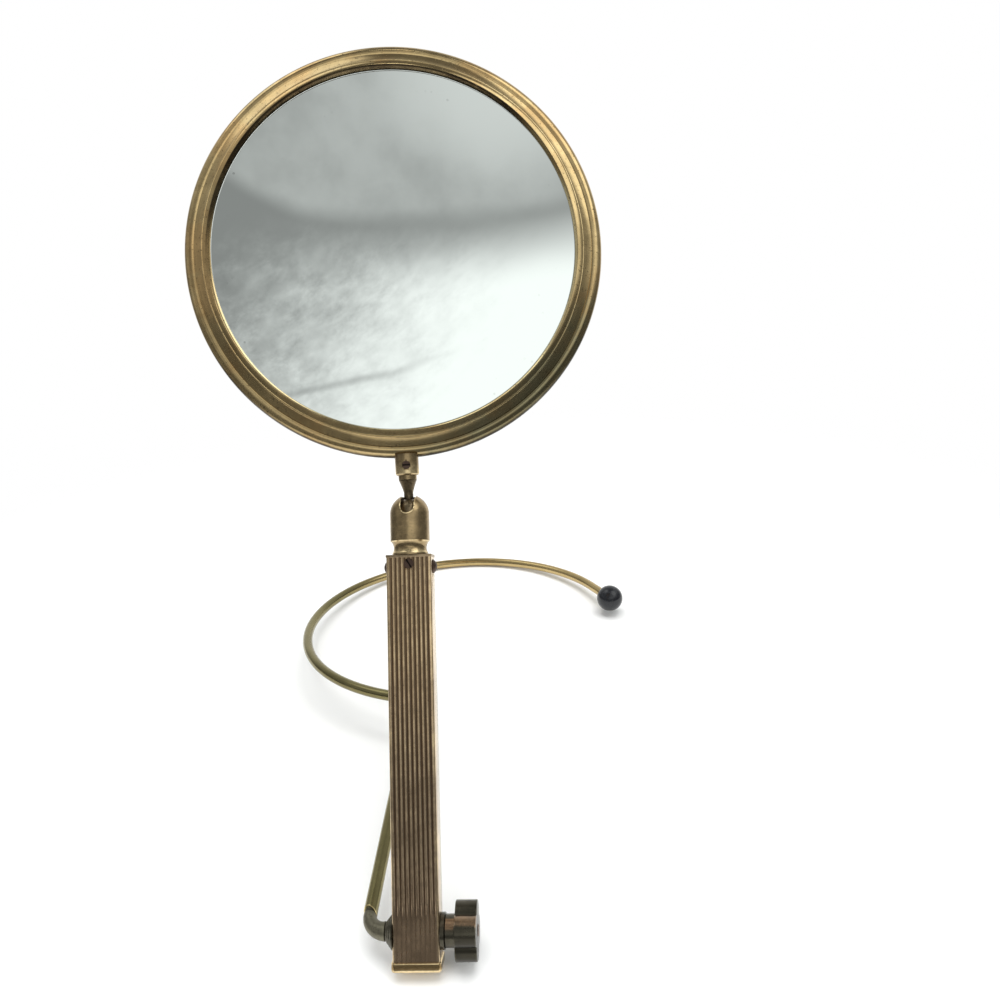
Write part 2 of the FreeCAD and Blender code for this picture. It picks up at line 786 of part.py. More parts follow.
COLUMN_PIECES = (column_tube, bottom_cap, top_plug, face_screw, side_screws, pivot_bush, clamp_washer)
SOCKET_PIECES = (socket_base, socket_cap, ball_seat, seat_spring)
HEAD_PIECES = (joint_ball, ball_stud, stem_sleeve, sleeve_screw, mirror_frame, mirror_glass, backing_card,
               back_cover, retaining_ring)
BASE_PIECES = (base_tube, elbow, cone_washer, pivot_bolt, knob_collar, clamp_knob, ball_tip)


def assemble():
    """All pieces by name, standing on the table with the origin below the middle of their box."""
    socket_place = column_place.multiply(Placement(Vector(0, 0, ball_height), Rotation()))
    pieces = {}
    for group, place in ((COLUMN_PIECES, column_place), (SOCKET_PIECES, socket_place), (HEAD_PIECES, head_place),
                         (BASE_PIECES, Placement())):
        for make in group:
            pieces[make.__name__] = make().transformed(place.toMatrix())
    points = [point for shape in pieces.values() for point in shape.tessellate(box_fineness)[0]]
    widths = [point.x for point in points]
    depths = [point.y for point in points]
    shift = Vector(-(min(widths) + max(widths)) / 2, -(min(depths) + max(depths)) / 2, -min(point.z for point in points))
    for shape in pieces.values():
        shape.translate(shift)
    return pieces, shift


def main():
    """Write one file for each piece."""
    pieces, shift = assemble()
    for name, shape in pieces.items():
        print(name, shape.ShapeType, len(shape.Solids), round(shape.Volume, 1), shape.isValid())
        shape.exportStep("parts/%s.step" % name)
    print("shift", shift, "pivot height", pivot_height)


main()
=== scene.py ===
"""Looks of a table-top vanity mirror in aged brass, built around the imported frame.

Each sub-assembly is a class that holds its sizes in millimetres and builds its pieces in a local frame: the
column's frame has its origin at the pivot and Z along the column, the head's frame has its origin in the
middle of the ball and Z along the stem, and the mirror's frame has Z out of the glass.
"""
import json
import logging
import math
from dataclasses import dataclass, field
from enum import Enum
from typing import Callable, Sequence

import bmesh
import bpy
from mathutils import Matrix, Vector


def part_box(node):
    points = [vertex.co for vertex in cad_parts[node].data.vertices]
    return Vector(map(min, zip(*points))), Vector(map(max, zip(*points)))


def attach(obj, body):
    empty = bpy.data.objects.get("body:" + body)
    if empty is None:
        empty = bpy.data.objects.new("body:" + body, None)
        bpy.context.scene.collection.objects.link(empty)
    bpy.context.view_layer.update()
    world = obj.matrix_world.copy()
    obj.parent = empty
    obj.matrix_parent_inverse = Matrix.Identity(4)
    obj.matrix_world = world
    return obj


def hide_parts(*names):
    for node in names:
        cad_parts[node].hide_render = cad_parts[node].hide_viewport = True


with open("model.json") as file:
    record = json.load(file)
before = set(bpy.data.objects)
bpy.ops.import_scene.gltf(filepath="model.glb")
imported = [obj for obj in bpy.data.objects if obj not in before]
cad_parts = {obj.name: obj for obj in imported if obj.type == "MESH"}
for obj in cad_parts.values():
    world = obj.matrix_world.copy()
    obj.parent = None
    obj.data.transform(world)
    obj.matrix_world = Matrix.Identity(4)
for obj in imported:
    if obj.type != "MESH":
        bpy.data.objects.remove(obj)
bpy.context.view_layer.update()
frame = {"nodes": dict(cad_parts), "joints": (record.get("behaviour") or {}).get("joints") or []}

LOG = logging.getLogger("vanity_mirror")
MM = 0.001
UP = Vector((0.0, 0.0, 1.0))
WHITE = (1.0, 1.0, 1.0)
COS_45 = math.sqrt(0.5)
POLE = 1e-6
CREASE = 32.0
PLAIN_WEAR = 0.4
BLOCK_WEAR = 0.55
LEAST_CORNER = 0.05
SCREW_PLAY = 0.06
SINK_SEGMENTS = 48
Pair = tuple[float, float]
Triple = tuple[float, float, float]
Colour = Triple
Screen = tuple[int, int, int]
Piece = bpy.types.Object
Socket = bpy.types.NodeSocket
Rule = Callable[[Vector, Vector], float]


class Body(Enum):
    """Rigid bodies of the frame."""

    BASE = "base"
    COLUMN = "column"
    BALL = "ball"
    HEAD = "head"
    KNOB = "knob"


class Grain(Enum):
    """Direction of a metal's fine tool marks in the piece's own frame."""

    TURNED = "rings about Z"
    DRAWN = "lines along Z"
    CAST = "even"


@dataclass(frozen=True)
class Stop:
    """One point of a turned or drawn outline, with how far it is rubbed bright."""

    radius: float
    height: float
    wear_and_painted_light: float


class Profile:
    """Outline of a turned piece in millimetres, drawn point by point."""

    def __init__(self, radius: float, height: float, wear_and_painted_light: float = PLAIN_WEAR) -> None:
        """Start the outline at one point."""
        self.stops: list[Stop] = [Stop(radius, height, wear_and_painted_light)]

    def to(self, radius: float, height: float, wear_and_painted_light: float = PLAIN_WEAR, steps: int = 1) -> "Profile":
        """Draw a straight line.

        Args:
            radius: radius of its end.
            height: height of its end.
            wear_and_painted_light: brightness of its end, 0 to 1.
            steps: number of even divisions.

        Returns:
            The outline itself.
        """
        last = self.stops[-1]
        for number in range(1, steps + 1):
            share = number / steps
            self.stops.append(Stop(blend(last.radius, radius, share), blend(last.height, height, share),
                                   blend(last.wear_and_painted_light, wear_and_painted_light, share)))
        return self

    def arc(self, middle: Pair, end: Pair, wear_and_painted_light: Pair = (PLAIN_WEAR, PLAIN_WEAR), steps: int = 10) -> "Profile":
        """Draw a round stretch through a middle point.

        Args:
            middle: radius and height of a point on the way.
            end: radius and height of its end.
            wear_and_painted_light: brightness at the middle and at the end.
            steps: number of even divisions.

        Returns:
            The outline itself.
        """
        last = self.stops[-1]
        centre, size, first, sweep = circle_through((last.radius, last.height), middle, end)
        for number in range(1, steps + 1):
            share = number / steps
            angle = first + sweep * share
            if share < 0.5:
                bright = blend(last.wear_and_painted_light, wear_and_painted_light[0], 2 * share)
            else:
                bright = blend(wear_and_painted_light[0], wear_and_painted_light[1], 2 * share - 1)
            self.stops.append(Stop(centre[0] + size * math.cos(angle), centre[1] + size * math.sin(angle), bright))
        return self


def blend(start: float, end: float, share: float) -> float:
    """Value between two others."""
    return start + (end - start) * share


def smoothstep(value: float, low: float, high: float) -> float:
    """Soft step from 0 at low to 1 at high."""
    share = min(max((value - low) / (high - low), 0.0), 1.0)
    return share * share * (3.0 - 2.0 * share)


def circle_through(start: Pair, middle: Pair, end: Pair) -> tuple[Pair, float, float, float]:
    """Circle through three points.

    Args:
        start: first point.
        middle: a point on the way.
        end: last point.

    Returns:
        Its centre, its radius, the angle of the first point and the signed sweep to the last.
    """
    (ax, ay), (bx, by), (cx, cy) = start, middle, end
    scale = 2.0 * (ax * (by - cy) + bx * (cy - ay) + cx * (ay - by))
    a2, b2, c2 = ax * ax + ay * ay, bx * bx + by * by, cx * cx + cy * cy
    ux = (a2 * (by - cy) + b2 * (cy - ay) + c2 * (ay - by)) / scale
    uy = (a2 * (cx - bx) + b2 * (ax - cx) + c2 * (bx - ax)) / scale
    first = math.atan2(ay - uy, ax - ux)
    through = (math.atan2(by - uy, bx - ux) - first) % math.tau
    last = (math.atan2(cy - uy, cx - ux) - first) % math.tau
    sweep = last if through <= last else last - math.tau
    return (ux, uy), math.hypot(ax - ux, ay - uy), first, sweep


@dataclass
class MeshDraft:
    """Points, faces and rubbed brightness of a mesh in the making, in millimetres."""

    points: list[Vector] = field(default_factory=list)
    faces: list[tuple[int, ...]] = field(default_factory=list)
    wear_and_painted_light: list[float] = field(default_factory=list)

    def point(self, place: Vector, wear_and_painted_light: float) -> int:
        """Add a point.

        Args:
            place: where it is.
            wear_and_painted_light: how far it is rubbed bright.

        Returns:
            Its number.
        """
        self.points.append(place)
        self.wear_and_painted_light.append(wear_and_painted_light)
        return len(self.points) - 1

    def join_rings(self, lower: Sequence[int], upper: Sequence[int]) -> None:
        """Bridge two rings of points with quads; a ring of one point is a pole.

        Args:
            lower: numbers of the first ring's points.
            upper: numbers of the second ring's points.
        """
        count = max(len(lower), len(upper))
        for number in range(count):
            after = (number + 1) % count
            if len(lower) == 1:
                self.faces.append((lower[0], upper[after], upper[number]))
            elif len(upper) == 1:
                self.faces.append((lower[number], lower[after], upper[0]))
            else:
                self.faces.append((lower[number], lower[after], upper[after], upper[number]))

    def repaint(self, rule: Callable[[Vector, float], float]) -> "MeshDraft":
        """Change each point's rubbed brightness by a rule of its place and old brightness."""
        self.wear_and_painted_light = [rule(point, wear_and_painted_light) for point, wear_and_painted_light in zip(self.points, self.wear_and_painted_light)]
        return self

    def piece(self, name: str, place: Matrix, crease: float = CREASE) -> Piece:
        """Make the object.

        Args:
            name: its name.
            place: where its local frame stands, in metres.
            crease: angle in degrees above which an edge stays sharp.

        Returns:
            The linked object with smooth faces and its wear attribute.
        """
        mesh = bpy.data.meshes.new(name)
        mesh.from_pydata([tuple(p * MM) for p in self.points], [], self.faces)
        mesh.attributes.new("wear_and_painted_light", "FLOAT", "POINT").data.foreach_set("value", self.wear_and_painted_light)
        mesh.validate()
        made = bpy.data.objects.new(name, mesh)
        bpy.context.scene.collection.objects.link(made)
        made.matrix_world = place
        shade(made, crease)
        return made


def shade(made: Piece, crease: float) -> None:
    """Smooth an object's faces up to a crease angle, with its normals outward.

    Args:
        made: the object.
        crease: angle in degrees above which an edge stays sharp.
    """
    mesh = made.data
    work = bmesh.new()
    work.from_mesh(mesh)
    bmesh.ops.recalc_face_normals(work, faces=work.faces[:])
    work.to_mesh(mesh)
    work.free()
    mesh.polygons.foreach_set("use_smooth", [True] * len(mesh.polygons))
    mesh.set_sharp_from_angle(angle=math.radians(crease))


def lathe(profile: Profile, segments: int, closed: bool = False) -> MeshDraft:
    """Turn an outline about Z.

    Args:
        profile: the outline, open from pole to pole or closed on itself.
        segments: divisions of a full turn.
        closed: whether its last point joins its first.

    Returns:
        The turned surface.
    """
    draft = MeshDraft()
    rings: list[list[int]] = []
    for stop in profile.stops:
        if stop.radius < POLE:
            rings.append([draft.point(Vector((0.0, 0.0, stop.height)), stop.wear_and_painted_light)])
            continue
        ring = []
        for number in range(segments):
            angle = math.tau * number / segments
            ring.append(draft.point(Vector((stop.radius * math.cos(angle), stop.radius * math.sin(angle),
                                            stop.height)), stop.wear_and_painted_light))
        rings.append(ring)
    pairs = list(zip(rings, rings[1:]))
    if closed:
        pairs.append((rings[-1], rings[0]))
    for lower, upper in pairs:
        if len(lower) > 1 or len(upper) > 1:
            draft.join_rings(lower, upper)
    return draft


@dataclass(frozen=True)
class Station:
    """One cross-section of a swept piece."""

    place: Vector
    course: Vector
    radius: float
    wear_and_painted_light: float = 0.5
    slant: float = 0.0
    twist: float = 0.0


def sweep(stations: Sequence[Station], segments: int, side: Vector) -> MeshDraft:
    """Sweep round sections along a course, with both ends closed.

    Args:
        stations: the sections in order.
        segments: points of each section.
        side: direction that the sections' first point keeps near to.

    Returns:
        The swept solid.
    """
    draft = MeshDraft()
    rings: list[list[int]] = []
    for station in stations:
        course = station.course.normalized()
        first = (side - course * side.dot(course)).normalized()
        second = course.cross(first)
        ring = []
        for number in range(segments):
            angle = math.tau * number / segments
            offset = first * math.cos(angle) + second * math.sin(angle)
            lean = course * (station.slant * math.cos(angle + station.twist))
            ring.append(draft.point(station.place + (offset + lean) * station.radius, station.wear_and_painted_light))
        rings.append(ring)
    for lower, upper in zip(rings, rings[1:]):
        draft.join_rings(lower, upper)
    for ring, station in ((rings[0], stations[0]), (rings[-1], stations[-1])):
        pole = draft.point(station.place.copy(), station.wear_and_painted_light)
        draft.join_rings([pole], ring)
    return draft


@dataclass(frozen=True)
class Layer:
    """One level of a drawn or pressed piece: its height, inset and brightness."""

    height: float
    inset: float = 0.0
    wear_and_painted_light: float = 0.0


Outline = Callable[[Layer], list[Stop]]


def stack(outline: Outline, layers: Sequence[Layer], capped: bool = True) -> MeshDraft:
    """Draw an outline through levels along Z.

    Args:
        outline: gives the outline's points at a level; a stop's radius and height are X and Y here.
        layers: the levels from the bottom to the top.
        capped: whether both ends are closed.

    Returns:
        The drawn solid.
    """
    draft = MeshDraft()
    rings: list[list[int]] = []
    for layer in layers:
        ring = []
        for stop in outline(layer):
            place = Vector((stop.radius, stop.height, layer.height))
            ring.append(draft.point(place, min(1.0, stop.wear_and_painted_light + layer.wear_and_painted_light)))
        rings.append(ring)
    for lower, upper in zip(rings, rings[1:]):
        draft.join_rings(lower, upper)
    if capped:
        draft.faces.append(tuple(reversed(rings[0])))
        draft.faces.append(tuple(rings[-1]))
    return draft


def rounded_block(half_width: float, half_depth: float, corner: float, steps: int) -> Outline:
    """Outline of a block with round corners, drawn in by each level's inset.

    Args:
        half_width: half its width along X.
        half_depth: half its depth along Y.
        corner: radius of its corners.
        steps: divisions of a corner.

    Returns:
        A function that gives the outline at a level.
    """
    def points(layer: Layer) -> list[Stop]:
        """Outline at one level.

        Args:
            layer: the level.

        Returns:
            Its points.
        """
        radius = max(corner - layer.inset, LEAST_CORNER)
        wide, deep = half_width - layer.inset - radius, half_depth - layer.inset - radius
        stops = []
        for quarter, (across, back) in enumerate(((1, 1), (-1, 1), (-1, -1), (1, -1))):
            for number in range(steps + 1):
                angle = math.pi / 2 * (quarter + number / steps)
                stops.append(Stop(across * wide + radius * math.cos(angle), back * deep + radius * math.sin(angle),
                                  BLOCK_WEAR))
        return stops
    return points


def carve(made: Piece, cutters: Sequence[Piece], crease: float = CREASE) -> None:
    """Cut shapes out of an object and delete the cutters.

    Args:
        made: the object to cut.
        cutters: closed shapes in the same frame.
        crease: angle in degrees above which an edge stays sharp.
    """
    for cutter in cutters:
        cut = made.modifiers.new("cut", "BOOLEAN")
        cut.operation = "DIFFERENCE"
        cut.solver = "EXACT"
        cut.object = cutter
    bpy.context.view_layer.update()
    result = bpy.data.meshes.new_from_object(made.evaluated_get(bpy.context.evaluated_depsgraph_get()))
    made.modifiers.clear()
    old = made.data
    made.data = result
    bpy.data.meshes.remove(old)
    for cutter in cutters:
        bpy.data.objects.remove(cutter)
    shade(made, crease)


def paint(made: Piece, rule: Rule) -> None:
    """Set how far each face is rubbed bright.

    Args:
        made: the object, still in its local frame.
        rule: gives the brightness from a face's middle in millimetres and its normal.
    """
    mesh = made.data
    old = mesh.attributes.get("wear_and_painted_light")
    if old is not None:
        mesh.attributes.remove(old)
    values = [rule(face.center / MM, face.normal) for face in mesh.polygons]
    mesh.attributes.new("wear_and_painted_light", "FLOAT", "FACE").data.foreach_set("value", values)


def settle(made: Piece) -> None:
    """Move an object's place into its mesh and keep its local coordinates for the finish.

    Args:
        made: the object.
    """
    mesh = made.data
    places = [0.0] * (3 * len(mesh.vertices))
    mesh.vertices.foreach_get("co", places)
    mesh.attributes.new("local", "FLOAT_VECTOR", "POINT").data.foreach_set("vector", places)
    mesh.transform(made.matrix_world)
    made.matrix_world = Matrix()
    mesh.update()


def display(red: int, green: int, blue: int) -> Colour:
    """Linear colour from the 0 to 255 values that a screen shows."""
    parts = (value / 255 for value in (red, green, blue))
    return tuple(part / 12.92 if part <= 0.04045 else ((part + 0.055) / 1.055) ** 2.4 for part in parts)


class NodeBoard:
    """Short ways to add nodes to the shader tree of a material or of the world."""

    def __init__(self, owner: bpy.types.Material | bpy.types.World) -> None:
        """Start on the owner's emptied tree.

        Args:
            owner: the material or world.
        """
        owner.use_nodes = True
        self.owner = owner
        self.tree = owner.node_tree
        self.tree.nodes.clear()

    def add(self, kind: str, inputs: dict | None = None, **settings: object) -> bpy.types.Node:
        """Add a node.

        Args:
            kind: its type without the leading ShaderNode.
            inputs: sockets to link, or values to set, by name or number.
            settings: its own properties.

        Returns:
            The node.
        """
        node = self.tree.nodes.new("ShaderNode" + kind)
        for name, value in settings.items():
            setattr(node, name, value)
        for name, value in (inputs or {}).items():
            if isinstance(value, Socket):
                self.tree.links.new(value, node.inputs[name])
            else:
                node.inputs[name].default_value = value
        return node

    def local(self) -> Socket:
        """The piece's own coordinates, kept when it was settled."""
        return self.add("Attribute", attribute_name="local").outputs["Vector"]

    def math(self, kind: str, first: object, second: object = 0.0) -> Socket:
        """Add a calculation and return its result."""
        return self.add("Math", {0: first, 1: second}, operation=kind).outputs[0]

    def plus(self, first: object, second: object) -> Socket:
        """Sum of two values."""
        return self.math("ADD", first, second)

    def less(self, first: object, second: object) -> Socket:
        """First value less the second."""
        return self.math("SUBTRACT", first, second)

    def times(self, first: object, second: object) -> Socket:
        """Product of two values."""
        return self.math("MULTIPLY", first, second)

    def weighted(self, start: object, *terms: tuple[Socket, float]) -> Socket:
        """Add up patterns, each times its weight.

        Args:
            start: value or socket to start from.
            terms: patterns and their weights.

        Returns:
            The sum.
        """
        for pattern, weight in terms:
            start = self.plus(start, self.times(pattern, weight))
        return start

    def length(self, first: Socket, second: Socket) -> Socket:
        """Length of a flat vector."""
        return self.math("SQRT", self.plus(self.times(first, first), self.times(second, second)))

    def along(self, vector: Socket, way: Sequence[float]) -> Socket:
        """Reach of a vector along a direction."""
        return self.add("VectorMath", {0: vector, 1: way}, operation="DOT_PRODUCT").outputs["Value"]

    def noise(self, vector: Socket, scale: float, detail: float = 4.0, rough: float = 0.55) -> Socket:
        """Add a cloudy pattern and return its value."""
        inputs = {"Vector": vector, "Scale": scale, "Detail": detail, "Roughness": rough}
        return self.add("TexNoise", inputs).outputs[0]

    def step(self, value: object, low: float, high: float, start: float = 0.0, end: float = 1.0) -> Socket:
        """Add a soft step between two values and return its result."""
        inputs = {"Value": value, "From Min": low, "From Max": high, "To Min": start, "To Max": end}
        return self.add("MapRange", inputs, interpolation_type="SMOOTHSTEP").outputs[0]

    def grade(self, value: Socket, stops: Sequence[Pair]) -> Socket:
        """Add a scale of greys and return its result.

        Args:
            value: where on the scale to read.
            stops: places on the scale, 0 to 1, and their tones.

        Returns:
            The tone.
        """
        node = self.add("ValToRGB", {0: value})
        ramp = node.color_ramp
        ramp.interpolation = "EASE"
        while len(ramp.elements) < len(stops):
            ramp.elements.new(1.0)
        for element, (place, tone) in zip(ramp.elements, stops):
            element.position = place
            element.color = (tone, tone, tone, 1.0)
        return node.outputs[0]

    def mix(self, share: object, first: object, second: object, way: str = "MIX") -> Socket:
        """Add a blend of two colours.

        Args:
            share: share of the second colour, 0 to 1.
            first: colour or socket.
            second: colour or socket.
            way: how the second is laid over the first.

        Returns:
            The blend.
        """
        ends = [value if isinstance(value, Socket) else (*value, 1.0) for value in (first, second)]
        inputs = {0: share, 6: ends[0], 7: ends[1]}
        return self.add("Mix", inputs, data_type="RGBA", blend_type=way).outputs[2]

    def glaze(self, share: object, tone: Socket, cover: object) -> Socket:
        """Lay a clear colour over another and return the result."""
        return self.mix(share, tone, cover, "MULTIPLY")

    def bump(self, height: Socket, strength: float = 1.0) -> Socket:
        """Add a relief, its height in millimetres, and return its normal."""
        return self.add("Bump", {"Height": height, "Distance": MM, "Strength": strength}).outputs[0]

    def surface(self, **inputs: object) -> bpy.types.Material:
        """End the tree in one surface and return its material.

        Args:
            inputs: sockets or values by the surface's input names, with _ for a space.

        Returns:
            The material.
        """
        named = {name.replace("_", " "): value for name, value in inputs.items()}
        shader = self.add("BsdfPrincipled", named)
        self.add("OutputMaterial", {"Surface": shader.outputs[0]})
        return self.owner


def new_board(name: str) -> NodeBoard:
    """Board of a new material."""
    return NodeBoard(bpy.data.materials.new(name))


@dataclass(frozen=True)
class Ageing:
    """How old metal takes rubbing, grime, tool marks and a one-way dark glaze, the same for every finish."""

    fine_scale: float = 5.0
    patch_share: float = 0.7
    rub_sway: float = 0.9
    rub_span: Pair = (0.45, 1.0)
    hollow_sway: float = 0.5
    hollow_span: Pair = (-0.12, 0.28)
    mottle_span: Pair = (0.38, 0.62)
    blush_scale: float = 0.45
    blush_span: Pair = (0.47, 0.60)
    tarnish_and_shade_sway: float = 0.05
    tarnish_and_shade_bare: Pair = (0.5, 0.9)
    mark_span: Pair = (0.45, 0.8)
    mark_stretch_drawn: float = 0.02
    mark_stretch_turned: float = 0.001
    speck_size: float = 1.1
    speck_edge: float = 0.08
    speck_cover: float = 0.6
    speck_pit: float = -0.008
    rough_start: float = -0.08
    rough_mottle: float = 0.16
    rough_hollow: float = 0.10
    rough_marks: float = 0.06
    rough_rubbed: float = -0.05


AGEING = Ageing()


@dataclass(frozen=True)
class AgedMetal:
    """Old brass, bronze or steel: patina, grime in the hollows, bright rubbed crests, tool marks, and a dark glaze
    along one way that is painted shade on the frame.
    """

    name: str
    bright: Screen
    patina: Screen
    grime: Screen
    roughness: float = 0.26
    metallic: float = 0.95
    mottle: float = 9.0
    grain: Grain = Grain.TURNED
    grain_size: float = 0.35
    grain_depth: float = 0.004
    relief: float = 0.005
    dulling: float = 0.72
    grain_tone: float = 0.3
    polish: float = 0.55
    specks: float = 0.66
    blush: float = 0.0
    blush_tone: Colour = (0.99, 0.86, 0.76)
    tarnish_and_shade: Colour = (0.5, 0.5, 0.5)
    tarnish_and_shade_way: Triple = (0.0, 0.0, 1.0)
    tarnish_and_shade_span: Pair | None = None
    carried: bool = False

    def material(self) -> bpy.types.Material:
        """Build the finish's material.

        Returns:
            The material.
        """
        board = new_board(self.name)
        place = board.add("TexCoord").outputs["Object"] if self.carried else board.local()
        # This attribute holds rubbed brightness. On the frame, the knob, its collar and the socket's notch it also
        # holds painted highlight and painted shade.
        wear_and_painted_light = board.add("Attribute", attribute_name="wear_and_painted_light").outputs["Fac"]
        cloud = self.mottle * MM
        patches = board.noise(place, 1.0 / cloud, detail=5.0, rough=0.6)
        fine = board.noise(place, AGEING.fine_scale / cloud, rough=0.6)
        marks = board.noise(self.grain_place(board, place), 1.0 / (self.grain_size * MM), detail=3.0, rough=0.6)
        uneven = board.weighted(0.0, (patches, AGEING.patch_share), (fine, 1.0 - AGEING.patch_share))
        rubbed = board.weighted(wear_and_painted_light, (uneven, AGEING.rub_sway))
        rubbed = board.step(rubbed, *(edge + self.polish for edge in AGEING.rub_span))
        hollow = board.step(board.less(board.times(uneven, AGEING.hollow_sway), wear_and_painted_light), *AGEING.hollow_span)
        speck = board.noise(place, 1.0 / (AGEING.speck_size * MM), detail=2.0, rough=0.7)
        speck = board.step(speck, self.specks, self.specks + AGEING.speck_edge)
        bright, patina, grime = (display(*values) for values in (self.bright, self.patina, self.grime))
        dull = tuple(value * self.dulling for value in patina)
        tone = board.mix(board.step(uneven, *AGEING.mottle_span), dull, patina)
        tone = board.mix(hollow, tone, grime)
        tone = board.mix(rubbed, tone, bright)
        if self.blush > 0.0:
            ruddy = board.noise(place, AGEING.blush_scale / cloud, detail=6.0, rough=0.62)
            tone = board.glaze(board.step(ruddy, *AGEING.blush_span, 0.0, self.blush), tone, self.blush_tone)
        # Dark glaze along one way: painted shade on the frame's lower right, and a plain darkening on the column and
        # the tube.
        if self.tarnish_and_shade_span:
            tone = board.glaze(self.tarnished_and_shaded(board, place, uneven, rubbed), tone, self.tarnish_and_shade)
        tone = board.mix(board.step(marks, *AGEING.mark_span, 0.0, self.grain_tone), tone, grime)
        tone = board.mix(board.times(speck, AGEING.speck_cover), tone, grime)
        rough = board.weighted(self.roughness + AGEING.rough_start, (uneven, AGEING.rough_mottle),
                               (hollow, AGEING.rough_hollow), (marks, AGEING.rough_marks),
                               (rubbed, AGEING.rough_rubbed))
        height = board.weighted(0.0, (marks, self.grain_depth), (speck, AGEING.speck_pit), (fine, self.relief))
        return board.surface(Base_Color=tone, Roughness=rough, Metallic=self.metallic, Normal=board.bump(height))

    def tarnished_and_shaded(self, board: NodeBoard, place: Socket, uneven: Socket, rubbed: Socket) -> Socket:
        """Share of the dark glaze that grows along one way across the piece; on the frame it is painted shade.

        Args:
            board: the tree to add to.
            place: the piece's own coordinates.
            uneven: cloudy pattern that breaks the edge.
            rubbed: share of bare metal, which stays clear.

        Returns:
            The share, 0 to 1.
        """
        reach = board.weighted(board.along(place, self.tarnish_and_shade_way), (uneven, AGEING.tarnish_and_shade_sway))
        covered = board.step(rubbed, *AGEING.tarnish_and_shade_bare, 1.0, 0.0)
        return board.times(board.step(reach, *self.tarnish_and_shade_span), covered)

    def grain_place(self, board: NodeBoard, place: Socket) -> Socket:
        """Coordinates in which the tool marks run long.

        Args:
            board: the tree to add to.
            place: the piece's own coordinates.

        Returns:
            The stretched coordinates.
        """
        if self.grain is Grain.CAST:
            return place
        x, y, z = board.add("SeparateXYZ", {0: place}).outputs
        if self.grain is Grain.DRAWN:
            parts = (x, y, board.times(z, AGEING.mark_stretch_drawn))
        else:
            around = board.times(board.math("ARCTAN2", y, x), AGEING.mark_stretch_turned)
            parts = (board.length(x, y), around, z)
        return board.add("CombineXYZ", dict(enumerate(parts))).outputs[0]


@dataclass(frozen=True)
class SilveredGlass:
    """Old mirror glass: bright silver with a faint haze and a few specks near the rim."""

    name: str = "silvered_glass"
    tint: Colour = (0.845, 0.885, 0.862)
    speck: Colour = (0.30, 0.31, 0.29)
    radius: float = 83.5
    speck_start: float = 0.72
    speck_scale: float = 260.0
    speck_edge: Pair = (0.10, 0.20)
    speck_groups: Pair = (0.52, 0.7)
    speck_cover: float = 0.5
    speck_rough: float = 0.3
    group_scale: float = 60.0
    haze_scale: float = 70.0
    haze_span: Pair = (0.4, 0.75)
    haze_rough: Pair = (0.012, 0.04)
    wave: float = 0.06
    wave_scale: float = 26.0

    def material(self) -> bpy.types.Material:
        """Build the mirror's material.

        Returns:
            The material.
        """
        board = new_board(self.name)
        place = board.local()
        x, y, _ = board.add("SeparateXYZ", {0: place}).outputs
        rim = board.step(board.length(x, y), self.radius * self.speck_start * MM, self.radius * MM)
        cells = board.add("TexVoronoi", {"Vector": place, "Scale": self.speck_scale}, feature="F1")
        dots = board.step(cells.outputs["Distance"], *self.speck_edge, 1.0, 0.0)
        chosen = board.step(board.noise(place, self.group_scale, detail=3.0), *self.speck_groups)
        dots = board.times(board.times(dots, chosen), board.times(rim, self.speck_cover))
        haze = board.noise(place, self.haze_scale, detail=6.0, rough=0.65)
        tone = board.mix(dots, self.tint, self.speck)
        rough = board.weighted(board.step(haze, *self.haze_span, *self.haze_rough), (dots, self.speck_rough))
        relief = board.bump(board.noise(place, self.wave_scale, detail=1.0), self.wave)
        return board.surface(Base_Color=tone, Roughness=rough, Metallic=1.0, Normal=relief)


@dataclass(frozen=True)
class BlackGloss:
    """Glossy black of the ball, with faint handling marks."""

    name: str = "black_gloss"
    tone: Colour = (0.010, 0.011, 0.014)
    dust: Colour = (0.030, 0.031, 0.036)
    dust_span: Pair = (0.5, 0.85)
    smear_scale: float = 220.0
    smear_span: Pair = (0.3, 0.8)
    smear_rough: Pair = (0.14, 0.34)
    relief: float = 0.02
    relief_scale: float = 900.0

    def material(self) -> bpy.types.Material:
        """Build the ball's material.

        Returns:
            The material.
        """
        board = new_board(self.name)
        place = board.local()
        smear = board.noise(place, self.smear_scale, detail=5.0, rough=0.65)
        tone = board.mix(board.step(smear, *self.dust_span), self.tone, self.dust)
        rough = board.step(smear, *self.smear_span, *self.smear_rough)
        relief = board.bump(board.noise(place, self.relief_scale, detail=3.0), self.relief)
        return board.surface(Base_Color=tone, Roughness=rough, Normal=relief)


@dataclass(frozen=True)
class GreyCard:
    """Pulp card behind the glass."""

    name: str = "grey_card"
    tone: Colour = (0.36, 0.30, 0.22)
    fleck: Colour = (0.20, 0.16, 0.11)
    fleck_span: Pair = (0.45, 0.7)
    fibre_scale: float = 700.0
    roughness: float = 0.85
    relief: float = 0.15

    def material(self) -> bpy.types.Material:
        """Build the card's material.

        Returns:
            The material.
        """
        board = new_board(self.name)
        place = board.add("TexCoord").outputs["Object"]
        fibre = board.noise(place, self.fibre_scale, detail=6.0, rough=0.7)
        tone = board.mix(board.step(fibre, *self.fleck_span), self.tone, self.fleck)
        return board.surface(Base_Color=tone, Roughness=self.roughness, Normal=board.bump(fibre, self.relief))


Finish = AgedMetal | SilveredGlass | BlackGloss | GreyCard
